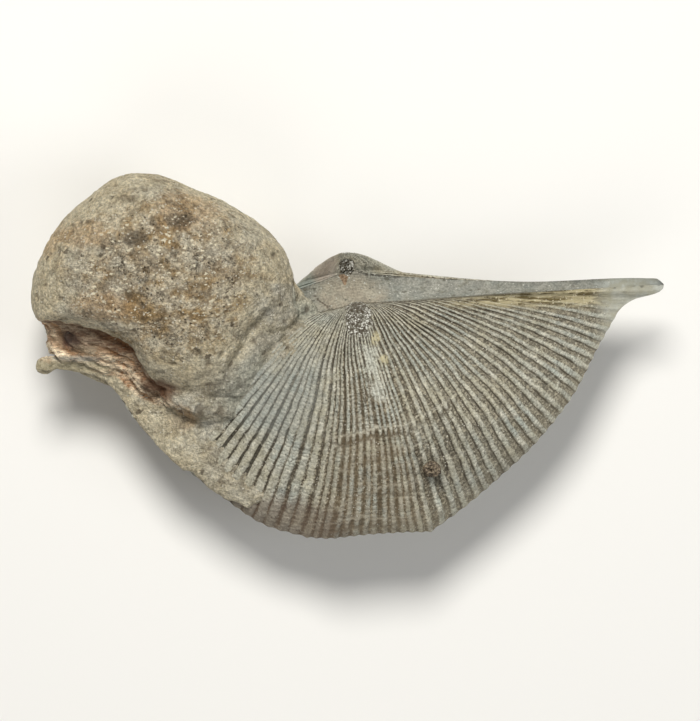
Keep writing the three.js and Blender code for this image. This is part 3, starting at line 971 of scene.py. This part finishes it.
# %% Worm tube finish
def tube_stone():
    f = Finish("worm_tube_lime")
    grit = f.noise(0.25, 3, 0.6)
    colour = f.blend((60, 50, 40), (138, 124, 103), grit, 0.4, 0.62)
    return f.done(colour, 0.6, grit, 0.12)


print("the last finish is the tube's")

# %% [markdown]
# ## The upper valve
# It is a fan of ribs, so it starts as a grid whose one direction is the rib number and the other
# the place along the rib. The formula bends the grid over the dome, and the relief is added along
# the surface's normals. Its flat inner side is a fan of triangles.

# %% Closing a valve
UPPER_COLUMNS, UPPER_ROWS = RIB_COUNT * 9, 136
INNER_POINT = (0, -8, 0.0)
APEX = 0.004                      # the share along the ribs that counts as the beak's point
SEAM = 0.05                       # half the gap between the valves' edges


def close_inside(mesh, height):
    """Closes a valve on its inner side with a fan from its open edge to one point."""
    shape = bmesh.new()
    shape.from_mesh(mesh)
    bmesh.ops.remove_doubles(shape, verts=shape.verts, dist=1e-4)
    bmesh.ops.dissolve_degenerate(shape, dist=1e-5, edges=shape.edges)
    rim = [edge for edge in shape.edges if edge.is_boundary]
    for edge in rim:
        edge.smooth = False
    made = bmesh.ops.extrude_edge_only(shape, edges=rim)["geom"]
    inner = [item for item in made if isinstance(item, bmesh.types.BMVert)]
    x, y, z = INNER_POINT
    target = to_fossil(np.array([[x, y, z + height]]))[0]
    bmesh.ops.pointmerge(shape, verts=inner, merge_co=Vector(target))
    bmesh.ops.recalc_face_normals(shape, faces=shape.faces)
    if shape.calc_volume(signed=True) < 0:
        bmesh.ops.reverse_faces(shape, faces=shape.faces)
    shape.to_mesh(mesh)
    shape.free()


print("the upper valve's grid:", UPPER_COLUMNS, "by", UPPER_ROWS)

# %% The upper valve's relief
def upper_marks(points):
    """Where the stains and worn places of the upper valve are, in the shell's own frame."""
    x, y = points[:, 0], points[:, 1]
    wobble = noise(points, 2.4, seed=31)
    fine = noise(points, 0.7, seed=32)
    crystal = fade(1.15, 0.6, np.hypot((x - 0.7) / 2.2, (y + 1.5) / 3.0) + 0.3 * fine)
    path = 1.5 - 0.05 * (y + 4)
    streak = bump(0, 1.35, x - path + 0.7 * wobble) * fade(-1.5, -6, y) * fade(-18, -13, y + wobble)
    gap = fade(-0.2, 0.4, noise(points * (1, 0.45, 1), 1.8, seed=33))
    streak = streak * (0.3 + 0.7 * gap)
    rust = fold_at(x, y) * fade(-15.5, -18, y + 0.5 * wobble)
    rust = np.maximum(rust * 0.9, 0.45 * fold_at(x, y) * fade(-6, -12, y))
    under_hinge = (y + 0.5 * wobble) / np.maximum(0.09 * x - 0.1, 0.5)
    ochre = fade(9, 22, x) * fade(39, 34, x) * fade(-1.7, -0.9, under_hinge)
    tip = fade(32.5, 37, x + wobble)
    return {"crystal": crystal, "streak": streak, "rust": rust, "ochre": ochre, "tip": tip}


def upper_relief(rib, wavy_rib, along, base, marks):
    """The height of everything that stands out, with the crests' marks and the growth steps'
    painted highlight and shadow.
    """
    breadth = 0.38 + 0.1 * fade(FLANK - 3, FLANK + 3, rib)
    breadth = breadth + 0.27 * fade(FLANK + 11, FLANK + 17, rib)
    breadth += 0.12 * noise(base, 1.6, seed=12)
    crest = rib_crest(wavy_rib, breadth)
    wear = 0.75 + 0.45 * noise(base, 4.0, seed=3)
    wear = np.clip(wear, 0.2, 1.15) * (1 - 0.75 * marks["streak"]) * (1 - 0.5 * marks["crystal"])
    wear = wear * (1 - 0.7 * marks["ochre"])
    ribs = rib_height(rib, along) * crest * wear
    growth, step_shading = growth_relief(along, crest, base)
    quiet = fade(0.03, 0.2, along)
    grain = 0.06 * noise(base, 0.6, seed=4) * fade(0.99, 0.85, along)
    grain += 0.1 * marks["ochre"] * noise(base * (0.4, 1, 1), 0.8, seed=13)
    swell = 0.22 * noise(base, 9.0, seed=8, octaves=2) * quiet * fade(1, 0.9, along)
    crystals = 0.16 * marks["crystal"] * noise(base, 0.6, seed=9, octaves=2)
    pits = -0.12 * fade(0.25, 0.55, noise(base, 0.9, seed=10, octaves=2)) * (1 - crest) * quiet
    relief = ribs + growth * quiet + grain + swell + crystals + pits
    relief *= fade(0, 0.012, along)
    return relief, crest, step_shading


print("one point's marks:", list(upper_marks(np.zeros((1, 3)))))

# %% Upper valve
def make_upper_valve(material):
    mesh = sheet_mesh("upper_valve", UPPER_COLUMNS, UPPER_ROWS)
    grid = read_points(mesh)
    rib = grid[:, 0] * RIB_COUNT
    along = grid[:, 1] ** 1.25
    base = upper_base(rib, along)
    normal = outward(upper_base, rib, along, 1)
    normal[along < APEX] = (0, 0.3, 0.95)

    marks = upper_marks(base)
    wander = 0.16 * noise(base, 5.0, seed=1) + 0.09 * noise(base, 1.1, seed=2)
    wavy_rib = rib + wander
    relief, crest, step_shading = upper_relief(rib, wavy_rib, along, base, marks)
    at_edge = fade(0.965, 1, along)
    hinge = fade(0, 0.8, tip_distance(rib))
    points = base + normal * (relief * (1 - at_edge) * hinge)[:, None]
    points += edge_shift(rib) * (at_edge * hinge)[:, None]
    points[:, 2] += SEAM

    write_points(mesh, to_fossil(points))
    left = fade(RIB_COUNT - 28, RIB_COUNT - 20, rib) * fade(0.42, 0.62, along)
    near_beak = 1 + 0.5 * fade(0.45, 0.15, along)
    broken = 0.17 * fade(RIB_COUNT - 34, RIB_COUNT - 24, rib)
    strength = (0.75 - broken) * near_beak + 0.57 * left
    # The groove line carries the painted shadow under each crest on the right flank.
    line = shadow_and_groove_line(wavy_rib) * fade(0.01, 0.06, along) * strength
    pale = fade(FLANK + 1, FLANK - 6, rib) * fade(0.15, 0.4, along)
    # The marks include the growth steps' painted highlight and shadow.
    mark(mesh, crest=crest * fade(0.01, 0.08, along), growth=along, line=line, bold=left,
         pale=pale, along=along, step_shading=step_shading, **marks)
    close_inside(mesh, SEAM)
    return finish_piece("upper_valve", mesh, material, "brachial_valve")


make_upper_valve(upper_stone())

# %% [markdown]
# ## The lower valve
# The lower valve is deeper. Behind the hinge line it shows a flat, smooth triangle on each side,
# the interarea, and its beak curves over that. All of it starts as three flat grids in one mesh,
# stacked at heights 0, 1 and 2 so that the formula can tell them apart: the ribbed skin and the
# two halves of the interarea. Their shared lines are then merged. The beak is worn open, so it
# ends in a hole filled with dark crystals, over a small reddish notch.

# %% The lower valve's grids
LOWER_COLUMNS, LOWER_ROWS, AREA_COLUMNS = RIB_COUNT * 8, 118, 30
HOLE_AT = (0.15, 5.85)
NOTCH_AT = (-0.42, 3.4)
CRACK = [(-4.5, 8.4), (-4.1, 7.7), (-3.4, 7.3), (-2.7, 6.7)]


def interarea(tip, along, across):
    """A point between the hinge line (across 0) and the beak ridge (across 1)."""
    edge = outline(np.full(len(along), float(tip)))
    x = edge[:, 0] * along ** 0.78
    hinge = np.stack([x, hinge_y(x), 0 * along], axis=1)
    ridge = lower_base(np.full(len(along), float(tip)), along)
    points = hinge + (ridge - hinge) * across[:, None]
    points[:, 2] -= 0.7 * np.sin(np.pi * across) * (1 - along)
    return points


def lower_sheets():
    """One mesh of three flat grids: the ribbed skin and the interarea's two halves."""
    shape = bmesh.new()
    for level, columns in enumerate((LOWER_COLUMNS, AREA_COLUMNS, AREA_COLUMNS)):
        bmesh.ops.create_grid(shape, x_segments=columns, y_segments=LOWER_ROWS, size=0.5,
                              matrix=Matrix.Translation((0.5, 0.5, level)))
    return mesh_from("lower_valve", shape)


print("the hinge line's middle:", interarea(0, np.array([0.0]), np.array([0.0])).round(2))

# %% The worn beak
def refine_beak(mesh):
    """Splits the long edges round the beak, so that the hole can be carved there."""
    fine = bmesh.new()
    fine.from_mesh(mesh)
    beak = Vector(to_fossil(np.array([LOWER_BEAK]))[0])
    for longest in (0.3, 0.18):
        near = [e for e in fine.edges if e.calc_length() > longest
                and max((v.co - beak).length for v in e.verts) < 3.0]
        bmesh.ops.subdivide_edges(fine, edges=near, cuts=1, use_grid_fill=True)
    bmesh.ops.triangulate(fine, faces=[f for f in fine.faces if len(f.verts) > 4])
    fine.to_mesh(mesh)
    fine.free()


def carve_beak(mesh):
    """Sinks the hole and the notch into the beak, with rough crystals in the hole."""
    points = read_points(mesh)
    shell = to_shell(points)
    x, y = shell[:, 0] - HOLE_AT[0], shell[:, 1] - HOLE_AT[1]
    facing = (read_normals(mesh)[:, 2] > 0.1) & (shell[:, 2] > -4)
    width = 1.05 + 0.28 * y
    ragged = 0.12 * noise(shell, 0.9, seed=48)
    hole = fade(1.12, 0.82, np.hypot(x / np.maximum(width, 0.3), y / 1.25) + ragged) * facing
    x, y = shell[:, 0] - NOTCH_AT[0], shell[:, 1] - NOTCH_AT[1]
    half = 0.1 + 0.42 * np.clip(y, 0, 2) + 0.1 * noise(shell, 0.8, seed=50)
    notch = fade(1.2, 0.7, np.abs(x) / half) * fade(-0.1, 0.3, y) * fade(1.9, 1.4, y) * facing
    crystals = 0.22 * noise(shell, 0.55, seed=49, octaves=2)
    points[:, 2] += hole * (1.5 * crystals - 0.35) - notch * 0.25
    write_points(mesh, points)
    mark(mesh, hole=hole, notch=notch, tip=fade(33, 38, np.abs(shell[:, 0])))


print("hole and notch at", HOLE_AT, NOTCH_AT)

# %% Lower valve
def make_lower_valve(material):
    mesh = lower_sheets()
    grid = read_points(mesh)
    along = grid[:, 1] ** 1.4
    skin = grid[:, 2] < 0.5
    area = ~skin
    rib = np.where(skin, grid[:, 0] * RIB_COUNT, 0)
    points = lower_base(rib, along)
    normal = outward(lower_base, rib, along, -1)
    normal[along < APEX] = (0, 0.2, 0.97)
    for level, tip in ((1, 0), (2, RIB_COUNT)):
        half = np.abs(grid[:, 2] - level) < 0.5
        points[half] = interarea(tip, along[half], grid[half, 0])
        normal[half] = (0, 0.1, 0.99)

    base = points.copy()
    wander = 0.12 * noise(base, 5.0, seed=41) + 0.05 * noise(base, 1.2, seed=42)
    crest = rib_crest(rib + 0.5 + wander, 0.5)
    wear = np.clip(0.8 + 0.4 * noise(base, 4.0, seed=43), 0.2, 1.1)
    growth, step_shading = growth_relief(along, crest, base)
    quiet = fade(0.03, 0.2, along)
    ribs = (rib_height(rib, along) + 0.24 * bump(0.08, 0.07, along)) * crest * wear + growth * quiet
    at_edge = fade(0.965, 1, along)
    swell = 0.25 * noise(base, 9.0, seed=44, octaves=2) * fade(0.1, 0.3, along)
    relief = ribs + swell + 0.04 * noise(base, 0.55, seed=45)
    relief *= fade(0, 0.012, along)
    inner = fade(0, 0.8, tip_distance(rib))
    points[skin] += (normal * (relief * (1 - at_edge) * inner)[:, None])[skin]
    points[skin] += (edge_shift(rib) * (at_edge * inner)[:, None])[skin]
    across = grid[:, 0]
    dents = 0.05 * noise(base, 1.0, seed=46) + 0.16 * noise(base, 6.0, seed=47, octaves=2)
    points[area, 2] += (dents * np.sin(np.pi * across) * fade(1, 0.8, along))[area]
    points[:, 2] -= SEAM

    points = to_fossil(points)
    points[:, 2] = np.maximum(points[:, 2], 0)
    write_points(mesh, points)
    crack = (grid[:, 2] > 1.5) & (np.abs(side_distance(to_fossil(base), CRACK)) < 0.12)
    # The marks include the growth steps' painted highlight and shadow.
    mark(mesh, crest=np.where(skin, crest * fade(0.004, 0.02, along), 0), along=along,
         growth=np.where(skin, along, 0.2 * across), step_shading=np.where(skin, step_shading, 0), area=area,
         across=across, crack=crack)
    close_inside(mesh, -SEAM)
    refine_beak(mesh)
    carve_beak(mesh)
    return finish_piece("lower_valve", mesh, material, "pedicle_valve")


make_lower_valve(lower_stone())

# %% [markdown]
# ## The lump of rock
# The rock is a rounded boulder around the left wing. It starts as a sphere of even triangles.
# Each point keeps its direction, and a smooth outline gives how far out it goes. On the left the
# rock has broken away under an overhang, which leaves a hollow with torn layers. The broken edge
# of the wing shows below it as a pale rod with a rounded stub at its end.

# %% Lump, lobe and wing edge
LUMP_AT = (-26.0, 10.0)
LUMP_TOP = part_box("matrix_lump")[1][2] / MM - 0.3
LUMP_SQUARENESS = 2.7
# Angle round the lump, in degrees, and the radius there in mm.
LUMP_OUTLINE = [
    (0, 18.6), (22, 17.2), (33, 16.1), (51, 14.7), (72, 14.3), (94, 15.3), (110, 15.9),
    (130, 15.8), (147, 16.2), (160, 17), (177, 17.85), (190, 18.3), (220, 17.4), (250, 16),
    (266, 15), (280, 15.6), (296, 17.6), (307, 18.6), (319, 17.2), (336, 16.9), (350, 18),
    (360, 18.6)]
OVERHANG = [(196, 19), (198, 15.6), (208, 12.2), (224, 10.2), (247, 9.9), (262, 12.8), (274, 16)]
HOLLOW_FLOOR = [(196, 17.6), (200, 17.3), (205, 17.3), (210, 18.3), (214, 19.1), (222, 16),
                (231, 14.7), (245, 13.6), (252, 14.4), (258, 15.2), (266, 15.8), (274, 16.4)]


def around(angle, pairs):
    line = smooth_line(pairs, 12)[0]
    return np.interp(angle, line[:, 0], line[:, 1])


def lump_points(sphere):
    """Bends a unit sphere into the lump."""
    x, y, z = sphere.T
    angle = np.degrees(np.arctan2(y, x)) % 360
    middle = LUMP_TOP * 0.46
    half_height = np.where(z > 0, LUMP_TOP - middle, middle + 1.2)
    height = middle + z * half_height
    level = np.abs(z)
    spread = (1 - np.clip(level, 0, 1) ** LUMP_SQUARENESS) ** (1 / LUMP_SQUARENESS)
    spread = np.where(z < 0, spread * (1 - 0.1 * level), spread)
    place = np.stack([x * 15, y * 15, height], axis=1)
    radius = around(angle, LUMP_OUTLINE) * spread
    torn = 0.7 * noise(place * (0.45, 0.45, 1), 1.4, seed=61)
    over = around(angle, OVERHANG) * (0.35 + 0.65 * spread / 0.93) + 0.4 * torn
    floor_radius = around(angle, HOLLOW_FLOOR) + 0.5 * torn
    low = fade(18.0, 13.6, height + 0.8 * torn)
    in_hollow = over * (1 - low) + floor_radius * low
    in_hollow -= 0.7 * bump(17.7, 0.8, height + 0.5 * torn) * fade(200, 206, angle)
    in_hollow = np.minimum(in_hollow, floor_radius * spread * 1.06)
    open_side = fade(195.6, 198.6, angle + 0.8 * torn) * fade(275, 268, angle)
    open_side *= fade(9.5, 12, height)
    radius = radius * (1 - open_side) + np.minimum(in_hollow, radius) * open_side
    flare = fade(21.5, 15.5, height) * fade(276, 294, angle) * fade(366, 338, angle)
    radius += 2.2 * flare * fade(8, 12, height)
    flat = np.hypot(x, y)
    return np.stack([LUMP_AT[0] + radius * x / np.maximum(flat, 1e-6),
                     LUMP_AT[1] + radius * y / np.maximum(flat, 1e-6),
                     np.maximum(height, 0)], axis=1)


def ball(shape, place, radii, turn=0, detail=4):
    turned = Matrix.Translation(place) @ Matrix.Rotation(math.radians(turn), 4, "Z")
    bmesh.ops.create_icosphere(shape, subdivisions=detail, radius=1,
                               matrix=turned @ Matrix.Diagonal((*radii, 1)))


def wing_edge(shape):
    """A row of balls along the wing's broken edge; the remesh joins them into one rod."""
    path = smooth_line([(-42.5, -1.4, 13.2), (-40.6, -0.9, 13.2), (-37.6, -0.6, 13.3),
                        (-34.8, -1.1, 13.5), (-32.5, -2.3, 13.8), (-31.2, -4.2, 14.0)])
    for share in np.linspace(0, 1, 40):
        radius = 0.8 + 0.12 * math.sin(share * 21) + 0.28 * math.exp(-(share / 0.07) ** 2)
        ball(shape, on_line(path, share), (radius, radius, radius * 0.9), detail=2)


print("the lump's top:", round(float(LUMP_TOP), 2), "mm above the table")

# %% [markdown]
# ## The crust over the left flank
# A thin skin of rock still covers the ribs next to the lump. It fades out softly towards the
# middle of the shell and ends in a ragged step near the front edge. It is a flat slab bent over
# the shell: its lower side lies inside the valve, and its upper side stands as high as the crust
# is thick there.

# %% Crust
FADING_SIDE = [(-2.2, 7.2), (-4.5, 4.2), (-7.2, -0.2), (-10.9, -3.9), (-14.6, -8.0), (-17, -12),
               (-15.8, -14.2), (-13.2, -15.7), (-11.0, -18.3), (-8.2, -20.3)]
RAGGED_SIDE = [(-8.2, -20.3), (-11.5, -20.2), (-14, -20.9), (-16, -20.1), (-18, -19),
               (-21.9, -16.3), (-26.5, -14)]


def crust_thickness(points):
    soft = side_distance(points, FADING_SIDE) + 1.2 * noise(points, 2.4, seed=62)
    step = side_distance(points, RAGGED_SIDE) + 0.7 * noise(points, 1.8, seed=63)
    lumps = 0.85 + 0.45 * noise(points, 2.0, seed=64) + 1.0 * bump(1.2, 1.4, step)
    thickness = 0.62 * fade(-0.2, 3.2, soft) * fade(-0.1, 0.35, step) * lumps - 0.14
    return thickness - 0.4 * fade(0.3, -1.2, soft) - 0.5 * fade(0, -0.4, step)


def make_crust(shape):
    slab = bmesh.new()
    bmesh.ops.create_grid(slab, x_segments=190, y_segments=130, size=0.5)
    top = bmesh.ops.extrude_face_region(slab, geom=slab.faces[:])["geom"]
    top = [item for item in top if isinstance(item, bmesh.types.BMVert)]
    bmesh.ops.translate(slab, verts=top, vec=(0, 0, 1))
    mesh = mesh_from("crust", slab)
    grid = read_points(mesh)
    rib = FLANK + 11 + (grid[:, 0] + 0.5) * (RIB_COUNT - FLANK - 11.5)
    along = 0.02 + (grid[:, 1] + 0.5) * 0.975
    base = upper_base(rib, along)
    normal = outward(upper_base, rib, along, 1)
    places = to_fossil(base)
    high = grid[:, 2] > 0.5
    rise = np.where(high, crust_thickness(places), -0.75)
    write_points(mesh, to_fossil(base + normal * rise[:, None]))
    shape.from_mesh(mesh)
    bpy.data.meshes.remove(mesh)


print("the crust's edges have", len(FADING_SIDE), "and", len(RAGGED_SIDE), "corners")

# %% [markdown]
# ## Joining the rock
# The lump, its lobe, the wing's broken edge and the crust become one skin with a voxel remesh.
# The skin is relaxed a little, so that the joins look grown, and is then roughened by noise:
# broad swells, grit, and pits.

# %% Rock piece
VOXEL = 0.26
# Two balls for the lobe and three for the knobs by the beak: place, radii and turn.
LOBES = [((-21.4, -6.1, 15.8), (5.0, 2.6, 2.9), -22), ((-18.6, -6.9, 16.4), (3.4, 1.9, 2.0), -20),
         ((-8.4, 8.7, 13.4), (2.6, 1.6, 1.6), -20), ((-7.0, 7.0, 12.8), (3.0, 1.7, 1.5), -25),
         ((-9.6, 5.8, 15.2), (2.8, 2.6, 2.2), 40)]
DENTS = [(-12.2, 3.9, 2.4, 50), (-15.2, -0.8, 2.8, 60)]


def remeshed(mesh, voxel):
    """The mesh after a voxel remesh, made with a modifier on a helper object."""
    helper = bpy.data.objects.new("helper", mesh)
    bpy.context.scene.collection.objects.link(helper)
    remesh = helper.modifiers.new("remesh", "REMESH")
    remesh.mode = "VOXEL"
    remesh.voxel_size = voxel
    smooth = helper.modifiers.new("smooth", "SMOOTH")
    smooth.factor = 0.5
    smooth.iterations = 3
    graph = bpy.context.evaluated_depsgraph_get()
    result = bpy.data.meshes.new_from_object(helper.evaluated_get(graph))
    bpy.data.objects.remove(helper)
    bpy.data.meshes.remove(mesh)
    return result


def joined_rock():
    """The lump, its lobe, the knobs by the beak, the wing's edge and the crust as one skin."""
    shape = bmesh.new()
    bmesh.ops.create_icosphere(shape, subdivisions=7, radius=1)
    lump = mesh_from("lump", shape)
    write_points(lump, lump_points(read_points(lump)))
    shape = bmesh.new()
    shape.from_mesh(lump)
    bpy.data.meshes.remove(lump)
    for place, radii, turn in LOBES:
        ball(shape, place, radii, turn)
    wing_edge(shape)
    make_crust(shape)
    bmesh.ops.recalc_face_normals(shape, faces=shape.faces)
    return remeshed(mesh_from("matrix", shape), VOXEL)


def rock_regions(points):
    """Where the torn hollow and the crust are, from 0 to 1."""
    x, y, z = points.T
    angle = np.degrees(np.arctan2(y - LUMP_AT[1], x - LUMP_AT[0])) % 360
    reach = np.hypot(x - LUMP_AT[0], y - LUMP_AT[1])
    floor_edge = around(angle, HOLLOW_FLOOR) + 0.6
    edge = around(angle, OVERHANG)
    hollow = fade(195, 198, angle) * fade(279, 271, angle)
    hollow = hollow * fade(floor_edge + 0.4, floor_edge, reach)
    hollow *= fade(edge - 2.6, edge - 1.2, reach) * fade(18.4, 17.2, z) * fade(9.5, 12.5, z)
    crusty = fade(14.5, 16.5, reach) * fade(262, 282, angle + 3 * (reach > 18)) * fade(14, 16, z)
    crusty = np.maximum(crusty, fade(-14, -11, x) * fade(10, 6, y))
    return hollow, crusty


def make_matrix(material):
    mesh = joined_rock()
    points = read_points(mesh)
    normal = read_normals(mesh)
    x, y, z = points.T
    hollow, crusty = rock_regions(points)
    turned = points @ np.array([(0.85, -0.45, 0.2), (0.5, 0.85, 0.1), (0.1, 0.1, 1)]).T
    strata = noise(turned * (0.3, 1.7, 1.7), 1.3, seed=65, gain=0.65)
    rough = 0.5 * noise(points, 8.0, seed=66, octaves=2) * (1 - 0.8 * crusty)
    rough += (0.22 - 0.1 * crusty) * noise(points, 2.4, seed=67)
    rough += 0.17 * noise(points, 0.9, seed=68, gain=0.7)
    rough -= 0.28 * fade(0.45, 0.7, noise(points, 1.5, seed=69, octaves=2)) * (1 - crusty)
    leaves = noise(turned * (0.5, 2, 2), 0.8, seed=73)
    rough += hollow * (0.95 * strata + 0.35 * leaves)
    rough += crusty * 0.36 * noise(turned * (0.5, 1.3, 1), 1.2, seed=72, gain=0.7)
    cracks = fade(0.07, 0.0, np.abs(noise(points, 7.0, seed=70, octaves=4)))
    rough -= 0.14 * cracks * fade(0.0, 0.3, noise(points, 9.0, seed=71, octaves=1))
    for dent_x, dent_y, length, turn in DENTS:
        run, rise = math.cos(math.radians(turn)), math.sin(math.radians(turn))
        u = (x - dent_x) * run + (y - dent_y) * rise
        v = (y - dent_y) * run - (x - dent_x) * rise
        rough -= 0.75 * bump(0, length, u) * bump(0, 0.75, v) * (z > 13)
    points += normal * (rough * fade(0.0, 0.8, z))[:, None]
    points[:, 2] = np.maximum(points[:, 2], 0)
    write_points(mesh, points)

    wing = bump(-1.4, 1.0, y) * fade(-30.5, -33, x) * fade(10, 12.3, z) * fade(15.2, 14.4, z)
    # The hollow's upper part, close under the overhang, carries painted shadow over rust.
    mark(mesh, hollow=hollow, rust_and_overhang_shadow=hollow * fade(15.6, 17.4, z + 0.6 * strata), strata=strata,
         crusty=crusty, wing=wing, crack=cracks,
         pit=fade(0.4, 0.65, noise(points, 1.5, seed=69, octaves=2)))
    return finish_piece("matrix", mesh, material, "matrix_lump")


make_matrix(matrix_stone())

# %% [markdown]
# ## The worm tube
# A tiny worm built a coiled limy tube on the shell, no wider than two ribs. It is a flat grid that
# a formula rolls into a tube and winds into a spiral. The tube thins and climbs a little towards
# the middle, and both its ends are drawn in. A flattened ball below it is the mound it sits on.

# %% Worm tube
TUBE_TURNS = 1.75
TUBE_START = math.radians(-80)
TUBE_RADIUS = 0.42
COIL_RADIUS = 0.95
MOUND_RADII = (1.22, 1.12, 0.95)


def make_worm_tube(material):
    low, high = [np.array(corner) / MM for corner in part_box("worm_tube")]
    mesh = sheet_mesh("coiled_tube", 160, 22)
    grid = read_points(mesh)
    turns = grid[:, 0]
    round_tube = grid[:, 1] * 2 * np.pi
    angle = TUBE_START + turns * 2 * np.pi * TUBE_TURNS
    drawn_in = np.minimum(1, 12 * np.minimum(turns, 1 - turns)) ** 0.5
    tube = TUBE_RADIUS * (1 - 0.45 * turns) * drawn_in
    tube = tube * (1 + 0.08 * np.sin(turns * 90))
    reach = COIL_RADIUS * (1 - turns) ** 0.75
    x = (reach + tube * np.cos(round_tube)) * np.cos(angle)
    y = (reach + tube * np.cos(round_tube)) * np.sin(angle)
    z = tube * np.sin(round_tube) + 0.25 * turns
    points = np.stack([x, y, z], axis=1) * (1.12, 1.0, 1.3)
    points += 0.05 * noise(points, 0.5, seed=80)[:, None]
    middle = (low + high) / 2 + (-0.5, 0.2, 0)
    middle[2] = high[2] - 0.55
    write_points(mesh, points + middle)
    shape = bmesh.new()
    shape.from_mesh(mesh)
    bmesh.ops.remove_doubles(shape, verts=shape.verts, dist=0.002)
    ball(shape, middle - (0, 0, 0.75), MOUND_RADII)
    bmesh.ops.recalc_face_normals(shape, faces=shape.faces)
    shape.to_mesh(mesh)
    shape.free()
    return finish_piece("coiled_tube", mesh, material, "worm_tube")


make_worm_tube(tube_stone())
